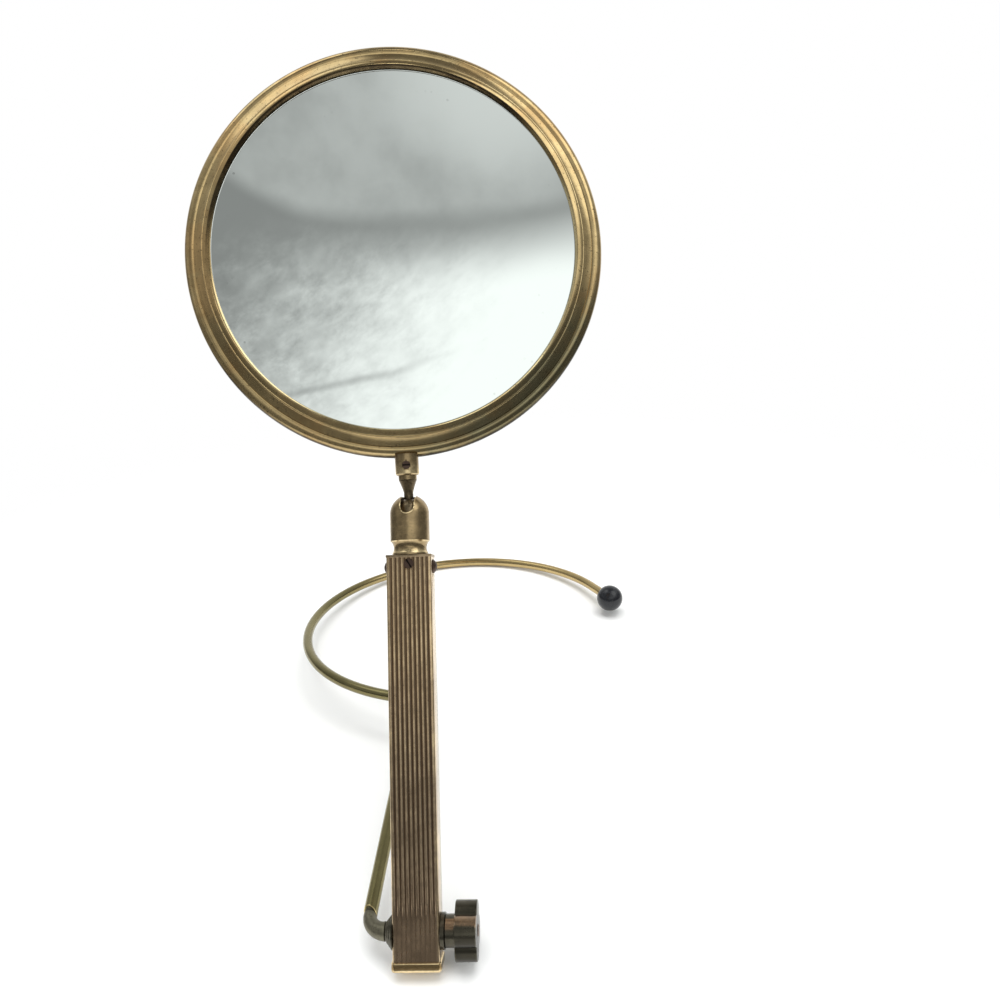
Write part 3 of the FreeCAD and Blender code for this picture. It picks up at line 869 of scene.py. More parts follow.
# The frame's glaze is painted shade on the rim's lower right.
FRAME_BRASS = AgedMetal(
    "frame_patina_and_shade", (248, 224, 172), (208, 182, 132), (68, 58, 44), roughness=0.10,
    mottle=16.0, blush=0.7, tarnish_and_shade=(0.42, 0.50, 0.58), tarnish_and_shade_way=(0.62, -0.78, 0.0),
    tarnish_and_shade_span=(0.088, 0.116), dulling=0.78, specks=0.61)
BACK_BRASS = AgedMetal(
    "back_patina", (222, 194, 142), (180, 152, 104), (98, 80, 52), roughness=0.24,
    mottle=34.0, dulling=0.88, grain_size=0.6, grain_tone=0.4)
STEM_BRASS = AgedMetal(
    "stem_patina", (240, 216, 168), (172, 149, 111), (70, 55, 36), roughness=0.19,
    mottle=6.0)
STUD_BRASS = AgedMetal(
    "stud_patina", (190, 168, 132), (132, 116, 90), (56, 46, 34), roughness=0.28,
    mottle=3.0, specks=0.56, relief=0.012)
HIDDEN_BRASS = AgedMetal(
    "hidden_brass", (200, 174, 124), (176, 148, 100), (120, 98, 62), roughness=0.34,
    carried=True)
# The column's glaze darkens it towards the pivot.
COLUMN_BRASS = AgedMetal(
    "column_patina", (244, 218, 174), (188, 160, 127), (92, 72, 52), roughness=0.18,
    mottle=14.0, grain=Grain.DRAWN, grain_size=0.25, tarnish_and_shade=(0.76, 0.77, 0.83),
    tarnish_and_shade_way=(0.0, 0.0, -1.0), tarnish_and_shade_span=(-0.115, -0.005))
PLATE_BRASS = AgedMetal(
    "plate_patina", (196, 174, 142), (176, 154, 124), (72, 58, 44), roughness=0.30,
    mottle=7.0, grain=Grain.CAST)
CAP_BRASS = AgedMetal(
    "cap_patina", (252, 228, 180), (172, 145, 102), (84, 66, 42), roughness=0.16,
    mottle=8.0, grain=Grain.CAST)
# The tube's glaze darkens it towards its left and front.
TUBE_BRASS = AgedMetal(
    "tube_patina", (236, 214, 158), (196, 172, 122), (104, 92, 58), roughness=0.18,
    mottle=20.0, grain=Grain.CAST, specks=0.74, dulling=0.85, tarnish_and_shade=(0.44, 0.51, 0.50),
    tarnish_and_shade_way=(-0.7, -0.5, 0.0), tarnish_and_shade_span=(-0.03, 0.04))
DARK_BRONZE = AgedMetal(
    "dark_bronze", (164, 134, 106), (86, 82, 70), (50, 47, 40), roughness=0.22,
    metallic=0.92, mottle=9.0, grain=Grain.CAST, specks=0.66, polish=0.75)
ELBOW_BRONZE = AgedMetal(
    "elbow_bronze", (164, 156, 132), (122, 117, 99), (70, 67, 56), roughness=0.40,
    metallic=0.8, mottle=5.0, grain=Grain.CAST, specks=0.60, relief=0.014)
HIDDEN_BRONZE = AgedMetal(
    "hidden_bronze", (150, 134, 108), (120, 110, 88), (84, 76, 60), roughness=0.4,
    carried=True)
SCREW_STEEL = AgedMetal(
    "bronzed_screw", (136, 110, 88), (92, 74, 64), (36, 28, 24), roughness=0.40,
    metallic=0.8, mottle=2.5, grain=Grain.CAST)
MIRROR_SILVER = SilveredGlass()
BALL_BLACK = BlackGloss()
CARD_GREY = GreyCard()


class Workshop:
    """Keeps one material for each finish and hangs finished pieces on the frame."""

    def __init__(self) -> None:
        """Start with no material made."""
        self.made: dict[str, bpy.types.Material] = {}

    def material(self, finish: Finish) -> bpy.types.Material:
        """Find the material of a finish, made when it is first asked for.

        Args:
            finish: the finish.

        Returns:
            Its material.
        """
        if finish.name not in self.made:
            self.made[finish.name] = finish.material()
        return self.made[finish.name]

    def hang(self, piece: Piece, body: Body, slot: str, finish: Finish, nodes: Sequence[str] = ()) -> None:
        """Dress a piece and let it ride on a body.

        Args:
            piece: the finished object, in place.
            body: the body that carries it.
            slot: the record's material slot; not used.
            finish: its finish.
            nodes: the frame's nodes that it stands for.
        """
        settle(piece)
        piece.data.materials.clear()
        piece.data.materials.append(self.material(finish))
        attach(piece, body.value)
        if nodes:
            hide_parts(*nodes)
        LOG.info("%s rides on %s, %d faces", piece.name, body.value, len(piece.data.polygons))

    def dress_node(self, node: str, finish: Finish) -> None:
        """Give a frame node that stays its finish.

        Args:
            node: name of the node.
            finish: its finish.
        """
        target = frame["nodes"][node]
        for slot in target.material_slots:
            slot.material = self.material(finish)
        LOG.info("%s keeps its solid", node)


def joint_place(name: str) -> Vector:
    """Place of a joint of the frame, in metres."""
    return Vector(next(joint["pos_m"] for joint in frame["joints"] if joint["name"] == name))


def turned(axis: str, degrees: float) -> Matrix:
    """Rotation about a named axis."""
    return Matrix.Rotation(math.radians(degrees), 4, axis)


@dataclass(frozen=True)
class Stance:
    """How the mirror stands: its angles in degrees, and the frames that follow from the joints."""

    column_lean: float = 30.8
    head_nod: float = 5.7
    head_roll: float = 1.2
    head_turn: float = 5.0
    knob_turn: float = 41.5

    def column(self) -> Matrix:
        """Column's frame: origin at the pivot, Z along the column."""
        return Matrix.Translation(joint_place("column_lean")) @ turned("X", -self.column_lean)

    def socket(self) -> Matrix:
        """Socket's frame: origin in the middle of the ball, Z along the column."""
        return Matrix.Translation(joint_place("head_nod")) @ turned("X", -self.column_lean)

    def head(self) -> Matrix:
        """Head's frame: origin in the middle of the ball, Z along the stem."""
        return self.socket() @ turned("X", self.head_nod) @ turned("Y", -self.head_roll) @ turned("Z", self.head_turn)

    def pivot_right(self) -> Matrix:
        """Frame at the pivot with Z to the right along the bolt."""
        return Matrix.Translation(joint_place("column_lean")) @ turned("Y", 90.0)


STANCE = Stance()


def shifted(place: Matrix, x: float = 0.0, y: float = 0.0, z: float = 0.0) -> Matrix:
    """A frame moved along its own axes by millimetres."""
    return place @ Matrix.Translation(Vector((x, y, z)) * MM)


@dataclass(frozen=True)
class SubAssembly:
    """Pieces that are made together, with the workshop that dresses them."""

    workshop: Workshop


@dataclass(frozen=True)
class SlottedScrew:
    """Slotted screw head: low dome or flat, about Z, with its slot along X."""

    radius: float
    height: float
    depth: float
    dome: float
    slot: float = 0.8
    slot_depth: float = 0.7
    edge: float = 0.15
    skin: float = 0.02
    segments: int = 40

    def build(self, name: str, place: Matrix) -> Piece:
        """Turn the head and cut its slot.

        Args:
            name: name of the piece.
            place: frame at the head's seat, Z outward.

        Returns:
            The screw.
        """
        edge = self.height - self.dome
        outline = Profile(0.0, -self.depth, 0.0).to(self.radius * 0.9, -self.depth, 0.0)
        outline.to(self.radius, -self.depth + 0.1, 0.1).to(self.radius, edge, 0.5)
        if self.dome > 0.0:
            outline.arc((self.radius * 0.6, edge + self.dome * 0.7), (0.0, self.height), (0.8, 0.7), 8)
        else:
            outline.to(self.radius - self.edge, self.height, 0.8).to(0.0, self.height, 0.5, 3)
        screw = lathe(outline, self.segments).piece(name, place)
        box = rounded_block(self.radius * 1.5, self.slot / 2, 0.06, 2)
        levels = [Layer(self.height - self.slot_depth), Layer(self.height + 1.0)]
        carve(screw, [stack(box, levels).piece("slot_cutter", place)])
        paint(screw, self.rubbed)
        return screw

    def sink(self, place: Matrix, depth: float) -> Piece:
        """Cutter for the hole that a flush head sits in.

        Args:
            place: frame at the head's seat, Z outward.
            depth: how deep the hole goes.

        Returns:
            The closed shape.
        """
        bore = self.radius + SCREW_PLAY
        outline = Profile(0.0, -depth).to(bore, -depth).to(bore, 1.0).to(0.0, 1.0)
        return lathe(outline, SINK_SEGMENTS).piece("screw_hole", place)

    def rubbed(self, middle: Vector, normal: Vector) -> float:
        """Rub a face: bare crown, dull slot and rim.

        Args:
            middle: middle of the face.
            normal: its normal.

        Returns:
            Its brightness, 0 to 1.
        """
        if abs(middle.y) < self.slot / 2 + self.skin and middle.z < self.height - self.skin:
            return 0.0
        return 0.45 if normal.z > 0.5 else 0.25


@dataclass(frozen=True)
class Moulding:
    """One member of the frame's front: its width, its fall outwards, its bow and how it is rubbed."""

    width: float
    fall: float
    bow: float
    wear_and_painted_light: Triple
    steps: int


@dataclass(frozen=True)
class MirrorHead(SubAssembly):
    """Round mirror: spun frame, glass, cover behind, and the stem down to the ball."""

    radius: float = 94.97
    # The lip's high brightness is a painted highlight; the frame's painted shade rule keeps it only on the lip's
    # lower stretch.
    lip: Moulding = Moulding(1.1, -2.5, 0.35, (0.9, 1.2, 0.8), 10)
    crest: Moulding = Moulding(2.2, 0.8, 0.10, (0.6, 0.45, 0.35), 10)
    small_bead: Moulding = Moulding(0.9, 0.5, 0.30, (0.4, 0.9, 0.4), 10)
    cove: Moulding = Moulding(3.5, 1.7, -0.10, (0.35, 0.42, 0.5), 12)
    quirk: Moulding = Moulding(0.3, 0.6, 0.0, (0.35, 0.15, 0.1), 2)
    bead: Moulding = Moulding(4.8, 2.9, 1.3, (0.35, 0.7, 0.4), 26)
    # Painted shade on the frame: the outer rim darker towards the bottom, the other crests dimmer towards the bottom,
    # and the lip darker along its upper stretch.
    rim_painted_shade: float = 2.6
    rim_painted_shade_span: Pair = (0.1, 0.7)
    lip_painted_shade: float = 0.05
    lip_painted_shade_way: Pair = (-0.26, 0.97)
    lip_painted_shade_span: Pair = (0.22, 0.55)
    lip_margin: float = 0.3
    foot_shade_cap: float = 0.42
    foot_shade_span: Pair = (0.5, 0.85)
    skin: float = 0.02
    frame_segments: int = 288
    disc_segments: int = 192
    stem_segments: int = 64
    sheet: float = 1.0
    channel_rise: float = 0.4
    back_round: float = 2.4
    back_lip: float = 3.6
    back_lip_sheet: float = 0.6
    forward: float = 0.8
    glass_front: float = 2.0
    glass_thickness: float = 3.0
    glass_overlap: float = 2.4
    glass_bevel: float = 0.6
    glass_play: float = 0.4
    edge_line: float = 0.22
    edge_rise: float = 0.04
    edge_inset: float = 0.04
    edge_hair: float = 0.01
    card: float = 1.0
    cover_sheet: float = 0.8
    cover_dome: float = 1.0
    cover_radius: float = 70.0
    cover_step: float = 4.0
    cover_sag: float = 0.14
    cover_play: float = 0.3
    snap_wire: float = 1.4
    snap_play: float = 0.1
    snap_gap: float = 14.0
    snap_steps: int = 160
    ball_radius: float = 5.75
    neck: float = 2.1
    neck_length: float = 2.6
    root_step: float = 0.5
    root_length: float = 3.0
    joint_gap: float = 0.05
    taper_length: float = 5.6
    waist: float = 2.95
    collar: float = 4.1
    collar_length: float = 2.2
    collar_gap: float = 0.1
    collar_edge: float = 0.15
    stud_overlap: float = 0.4
    stem_length: float = 24.2
    sleeve_overlap: float = 1.6
    sleeve: float = 5.35
    sleeve_chamfer: float = 0.6
    rim_shade: float = 0.4
    screw_drop: float = 3.6
    screw_hole: float = 1.3
    screw: SlottedScrew = SlottedScrew(1.75, 0.0, 1.6, 0.0, 0.7, 0.5)

    def members(self) -> tuple[Moulding, ...]:
        """Members of the frame's front from the lip outwards."""
        return self.lip, self.crest, self.small_bead, self.cove, self.quirk, self.bead

    @property
    def cover_back(self) -> float:
        """Back of the cover's flange behind the frame's middle plane."""
        return self.glass_front - self.glass_thickness - self.card - self.cover_sheet

    @property
    def rim_back(self) -> float:
        """Back of the frame behind its middle plane."""
        return self.cover_back - self.snap_wire - self.back_lip_sheet

    @property
    def sight(self) -> float:
        """Radius of the glass in sight."""
        return self.radius - sum(member.width for member in self.members())

    @property
    def sleeve_foot(self) -> float:
        """Lower end of the sleeve over the middle of the ball."""
        return self.ball_radius + self.neck_length + self.taper_length + self.collar_length

    def mirror_place(self) -> Matrix:
        """Frame in the middle of the mirror, Z out of the glass and Y up."""
        middle = shifted(STANCE.head(), 0.0, -self.forward, self.stem_length + self.radius)
        return middle @ turned("X", 90.0)

    def build(self) -> None:
        """Make and dress all pieces of the head."""
        self.build_frame()
        self.build_glass()
        self.build_back()
        self.build_stem()

    def build_frame(self) -> None:
        """Spun moulding: rolled lip, crest, narrow bead, hollow, step and broad bead, and the channel behind."""
        seat = self.sight + self.glass_overlap + self.glass_play
        outline = Profile(seat, self.glass_front, 0.0).to(self.sight, self.glass_front, self.lip.wear_and_painted_light[0])
        radius, height = self.sight, self.glass_front
        for member in self.members():
            length = math.hypot(member.width, member.fall)
            middle = (radius + member.width / 2 + member.fall / length * member.bow,
                      height - member.fall / 2 + member.width / length * member.bow)
            radius, height = radius + member.width, height - member.fall
            last = outline.stops[-1]
            outline.stops[-1] = Stop(last.radius, last.height, member.wear_and_painted_light[0])
            if member.bow:
                outline.arc(middle, (radius, height), member.wear_and_painted_light[1:], member.steps)
            else:
                outline.to(radius, height, member.wear_and_painted_light[2], member.steps)
        bend = self.back_round * (1.0 - COS_45)
        lip_inner = self.radius - self.back_lip
        lip_face = self.rim_back + self.back_lip_sheet
        inner = self.radius - self.sheet
        outline.to(self.radius, self.rim_back + self.back_round, 0.4)
        outline.arc((self.radius - bend, self.rim_back + bend), (self.radius - self.back_round, self.rim_back),
                    (0.5, 0.4), 8)
        outline.to(lip_inner, self.rim_back, 0.5).to(lip_inner, lip_face, 0.2)
        outline.to(inner, lip_face, 0.0).to(inner, height + self.channel_rise, 0.0)
        # Paint shade on the lip's upper stretch and on the frame's lower part.
        draft = lathe(outline, self.frame_segments, closed=True).repaint(self.painted_shade)
        moulding = draft.piece("frame_moulding", self.mirror_place(), 34.0)
        self.workshop.hang(moulding, Body.HEAD, "frame_brass", FRAME_BRASS, ["mirror_frame"])

    def painted_shade(self, point: Vector, wear_and_painted_light: float) -> float:
        """Paint shade on the frame: along the lip's upper stretch, on the rim's lower stretch, and over the crests
        towards the bottom.

        Args:
            point: place on the frame.
            wear_and_painted_light: its brightness before the painted shade.

        Returns:
            Its brightness.
        """
        radius = math.hypot(point.x, point.y)
        below = -point.y / radius
        rim = self.radius - self.rim_painted_shade
        # Outer rim: painted shade towards the bottom.
        if radius > rim:
            return wear_and_painted_light * (1.0 - smoothstep(below, *self.rim_painted_shade_span) * smoothstep(radius, rim, self.radius))
        # Back and outer members: crests dimmed by painted shade towards the bottom.
        if point.z < self.glass_front - self.skin or radius > self.sight + self.lip.width + self.lip_margin:
            return blend(wear_and_painted_light, min(wear_and_painted_light, self.foot_shade_cap), smoothstep(below, *self.foot_shade_span))
        # Lip: painted shade along its upper stretch, while the lower stretch keeps its painted highlight.
        side, up = self.lip_painted_shade_way
        low = 0.5 - 0.5 * (up * point.y + side * point.x) / radius
        return wear_and_painted_light * blend(self.lip_painted_shade, 1.0, smoothstep(low, *self.lip_painted_shade_span))

    def build_glass(self) -> None:
        """Silvered glass with its ground edge."""
        edge = self.sight + self.glass_overlap
        front, back = self.glass_front, self.glass_front - self.glass_thickness
        line, hair = self.sight - self.edge_line, self.edge_hair
        outline = Profile(0.0, front).to(line, front, steps=24).to(line + hair, front)
        outline.to(self.sight - self.edge_inset, front + self.edge_rise).to(self.sight + hair, front - hair)
        outline.to(edge - self.glass_bevel, front - hair).to(edge, front - self.glass_bevel).to(edge, back)
        outline.to(0.0, back, steps=8)
        glass = lathe(outline, self.disc_segments).piece("silvered_disc", self.mirror_place(), 6.0)
        self.workshop.hang(glass, Body.HEAD, "glass", MIRROR_SILVER, ["mirror_glass"])
        self.workshop.dress_node("backing_card", CARD_GREY)

    def build_back(self) -> None:
        """Pressed cover with soft steps, and the open wire ring that holds it."""
        edge = self.radius - self.sheet - self.cover_play
        back, front = self.cover_back, self.cover_back + self.cover_sheet
        dome, step, flat = self.cover_dome, self.cover_step, self.cover_radius
        outline = Profile(0.0, front - dome, 0.3).to(flat, front - dome, 0.3, 6)
        outline.to(flat + step, front, 0.3).to(edge, front, 0.2).to(edge, back, 0.4).to(flat + step, back, 0.1, 5)
        outline.arc((flat + step * 0.75, back - dome * self.cover_sag), (flat + step / 2, back - dome / 2),
                    (0.2, 0.6), 6)
        outline.arc((flat + step * 0.25, back - dome + dome * self.cover_sag), (flat, back - dome), (0.9, 0.6), 6)
        outline.to(0.0, back - dome, 0.4, 12)
        cover = lathe(outline, self.disc_segments).piece("pressed_cover", self.mirror_place())
        self.workshop.hang(cover, Body.HEAD, "frame_brass", BACK_BRASS, ["back_cover"])
        wire = self.snap_wire / 2
        middle = self.radius - self.back_lip + self.snap_play + wire
        start = 90.0 + self.snap_gap / 2
        stations = []
        for number in range(self.snap_steps + 1):
            angle = math.radians(start + (360.0 - self.snap_gap) * number / self.snap_steps)
            outward = Vector((math.cos(angle), math.sin(angle), 0.0))
            place = outward * middle + UP * (back - wire)
            stations.append(Station(place, UP.cross(outward), wire, 0.7))
        ring = sweep(stations, 14, UP).piece("snap_ring", self.mirror_place())
        self.workshop.hang(ring, Body.HEAD, "frame_brass", BACK_BRASS, ["retaining_ring"])

    def build_stem(self) -> None:
        """Ball, stud with its waist and cone, sleeve under the rim, and the sleeve's screw."""
        place = STANCE.head()
        seat = math.sqrt(self.ball_radius ** 2 - self.neck ** 2)
        bend = self.ball_radius * COS_45
        ball = Profile(0.0, -self.ball_radius, 0.3).arc((bend, -bend), (self.ball_radius, 0.0), (0.3, 0.5), 14)
        ball.arc((bend, bend), (self.neck, seat), (0.6, 0.5), 14).to(0.0, seat, 0.0)
        turned_ball = lathe(ball, 72).piece("turning_ball", place)
        self.workshop.hang(turned_ball, Body.BALL, "stem_brass", STUD_BRASS, ["joint_ball"])
        foot = self.ball_radius + self.neck_length
        top = foot + self.taper_length
        root, root_foot = self.neck - self.root_step, seat - self.root_length
        shoulder, rim = seat + self.joint_gap, self.collar - self.joint_gap
        stud = Profile(0.0, root_foot, 0.0).to(root, root_foot, 0.0).to(root, shoulder, 0.0)
        stud.to(self.neck, shoulder, 0.1).to(self.neck, foot, 0.4, 4)
        stud.arc((self.waist, foot + self.taper_length / 2), (rim, top), (0.3, 0.2), 14)
        stud.to(rim, top + self.stud_overlap, 0.0).to(0.0, top + self.stud_overlap, 0.0)
        waisted = lathe(stud, self.stem_segments).piece("waisted_stud", place)
        self.workshop.hang(waisted, Body.HEAD, "stem_brass", STUD_BRASS)
        sleeve_top = self.stem_length + self.sleeve_overlap
        low, edge = top + self.collar_gap, self.collar_edge
        sleeve = Profile(0.0, low, 0.1).to(self.collar - edge, low, 0.2).to(self.collar, low + edge, 0.6)
        sleeve.to(self.collar, self.sleeve_foot - self.collar_gap, 0.6, 3).to(self.collar, self.sleeve_foot, 0.0)
        sleeve.to(self.sleeve - self.sleeve_chamfer, self.sleeve_foot, 0.3)
        sleeve.to(self.sleeve, self.sleeve_foot + self.sleeve_chamfer, 1.0)
        sleeve.to(self.sleeve, self.stem_length - self.rim_shade, 0.42, 5).to(self.sleeve, sleeve_top, 0.2, 2)
        sleeve.to(0.0, sleeve_top, 0.1)
        ferrule = lathe(sleeve, self.stem_segments).piece("rim_ferrule", place)
        seat_place = shifted(place, 0.0, -self.sleeve - self.skin, self.stem_length - self.screw_drop)
        seat_place = seat_place @ turned("X", 90.0)
        carve(ferrule, [self.screw.sink(seat_place, self.screw_hole)])
        self.workshop.hang(ferrule, Body.HEAD, "stem_brass", STEM_BRASS, ["stem_sleeve", "ball_stud"])
        grub = self.screw.build("ferrule_screw", seat_place)
        self.workshop.hang(grub, Body.HEAD, "screw_steel", SCREW_STEEL, ["sleeve_screw"])


@dataclass(frozen=True)
class BallSocket(SubAssembly):
    """Bullet-shaped socket, notched at the crown and front, on its coved base."""

    radius: float = 8.85
    crown: float = 7.4
    bottom: float = 14.1
    chamfer: float = 0.5
    ball_seat: float = 5.8
    notch: float = 6.0
    notch_floor: float = 1.5
    notch_chamfer: float = 0.45
    notch_bead: float = 0.3
    base_drop: float = 19.9
    cove_neck: float = 7.4
    cove_foot: float = 8.05
    cove_rim: float = 0.9
    segments: int = 96
    crease: float = 24.0
    edge_top: float = 5.0
    edge_depth: float = 0.18
    skin: float = 0.06
    chamfer_slack: float = 0.05
    flank_margin: float = 0.3
    lit_floor_start: float = 0.5
    lit_floor_depth: float = 0.6

    @property
    def spring(self) -> float:
        """Height where the socket's straight wall ends and its crown starts."""
        return self.crown - self.radius

    def build(self) -> None:
        """Make and dress the socket and its base."""
        place = STANCE.socket()
        bullet = lathe(self.bullet(), self.segments, closed=True).piece("notched_socket", place)
        carve(bullet, self.notch_shapes(self.notch, place), self.crease)
        core = lathe(self.core(), self.segments).piece("chamfer_core", place)
        wide = self.notch_shapes(self.notch + 2 * self.notch_chamfer, place)
        for shape in wide:
            keep = core.copy()
            keep.data = core.data.copy()
            bpy.context.scene.collection.objects.link(keep)
            carve(shape, [keep])
        bpy.data.objects.remove(core)
        carve(bullet, wide, self.crease)
        paint(bullet, self.rubbed)
        edge = sweep(self.notch_edge(), 10, UP).piece("notch_edge", place)
        self.workshop.hang(edge, Body.COLUMN, "stem_brass", STEM_BRASS)
        self.workshop.hang(bullet, Body.COLUMN, "stem_brass", STEM_BRASS, ["socket_cap"])
        foot, shoulder = -self.base_drop, -self.bottom
        rim = foot + self.cove_rim
        base = Profile(0.0, foot, 0.0).to(self.cove_foot, foot, 0.2).to(self.cove_foot, rim, 0.9, 2)
        base.arc((self.cove_neck, (rim + shoulder) / 2), (self.radius - self.chamfer, shoulder), (0.5, 0.7), 16)
        base.to(self.ball_seat + 1.0, shoulder, 0.0).to(0.0, shoulder, 0.0)
        coved = lathe(base, 80).piece("coved_base", place)
        self.workshop.hang(coved, Body.COLUMN, "stem_brass", STEM_BRASS, ["socket_base"])
        for hidden in ("ball_seat", "seat_spring"):
            self.workshop.dress_node(hidden, HIDDEN_BRASS)

    def rubbed(self, middle: Vector, normal: Vector) -> float:
        """Rub a face: bare chamfers, dull inside and notch, patina elsewhere, and a painted highlight on the notch
        floor's upward-facing front edge.

        Args:
            middle: middle of the face.
            normal: its normal.

        Returns:
            Its brightness, 0 to 1.
        """
        across = math.hypot(middle.x, middle.y)
        reach = math.hypot(across, max(middle.z - self.spring, 0.0))
        if middle.z < self.chamfer - self.bottom and across > self.ball_seat:
            return 0.9
        depth = self.radius - reach
        if depth < self.skin:
            return 0.5
        if abs(middle.x) > self.notch / 2 - self.flank_margin and depth < self.notch_chamfer + self.chamfer_slack:
            return 1.0
        # Painted highlight: the notch floor's front edge is bright only where it faces up.
        lit_floor_edge = middle.y < -self.ball_seat - self.lit_floor_start and depth < self.lit_floor_depth
        return 1.0 if normal.z > 0.2 and lit_floor_edge else 0.1

    def notch_edge(self) -> list[Station]:
        """Rounded edge of the notch, along its line on the crown.

        Returns:
            Its sections.
        """
        half = self.notch / 2 + self.notch_chamfer / 2
        level = self.notch / 2 - self.notch_floor
        top = self.edge_top
        turns = [math.pi * number / 20 for number in range(21)]
        flat = [(-half, blend(top, level, number / 8)) for number in range(8)]
        flat += [(-half * math.cos(turn), level - half * math.sin(turn)) for turn in turns]
        flat += [(half, blend(level, top, number / 8)) for number in range(1, 9)]
        reach = self.radius - self.edge_depth
        line = [Vector((x, -math.sqrt(reach ** 2 - x * x - max(z - self.spring, 0.0) ** 2), z)) for x, z in flat]
        ends = zip([line[0], *line[:-1]], line, [*line[1:], line[-1]])
        return [Station(point, after - before, self.notch_bead, 0.95) for before, point, after in ends]

    def bullet(self) -> Profile:
        """Draw the socket's wall, closed on itself.

        Returns:
            The outline.
        """
        radius, spring, foot = self.radius, self.spring, -self.bottom
        bend, seat_bend = radius * COS_45, self.ball_seat * COS_45
        outline = Profile(self.ball_seat, foot, 0.0).to(radius - self.chamfer, foot, 0.3)
        outline.to(radius, foot + self.chamfer, 0.9).to(radius, spring, 0.5, 6)
        outline.arc((bend, spring + bend), (0.0, spring + radius), (0.6, 0.6), 16)
        outline.to(0.0, self.ball_seat, 0.0)
        return outline.arc((seat_bend, seat_bend), (self.ball_seat, 0.0), (0.0, 0.0), 14)

    def core(self) -> Profile:
        """Draw the filled socket, drawn in by the notch's chamfer.

        Returns:
            The outline.
        """
        radius, foot = self.radius - self.notch_chamfer, -self.bottom - 1.0
        bend = radius * COS_45
        outline = Profile(0.0, foot).to(radius, foot).to(radius, self.spring)
        return outline.arc((bend, self.spring + bend), (0.0, self.spring + radius), steps=16)

    def notch_shapes(self, width: float, place: Matrix) -> list[Piece]:
        """Cutters for the notch: an upright round shaft and a round-floored way out to the front.

        Args:
            width: width of the notch.
            place: the socket's frame.

        Returns:
            Two closed shapes.
        """
        radius = width / 2
        level = radius - self.notch_floor - (width - self.notch) / 2
        far = 2 * self.radius
        wall, low = radius - 0.004, level - 0.01
        shaft = Profile(0.0, low).to(wall, low).to(wall, far).to(0.0, far)
        upright = lathe(shaft, 72).piece("notch_shaft", place)
        turns = [math.pi * number / 24 for number in range(25)]
        points = [(radius * math.cos(turn), radius * math.sin(turn)) for turn in turns]
        arch = [Stop(x, y, 0.8) for x, y in [*points, (-radius, -far), (radius, -far)]]
        way = stack(lambda layer: arch, [Layer(-0.02), Layer(far)])
        down = Matrix(((1, 0, 0, 0), (0, 0, -1, 0), (0, -1, 0, 0), (0, 0, 0, 1)))
        forward = way.piece("notch_way", shifted(place, 0.0, 0.0, level) @ down)
        return [upright, forward]


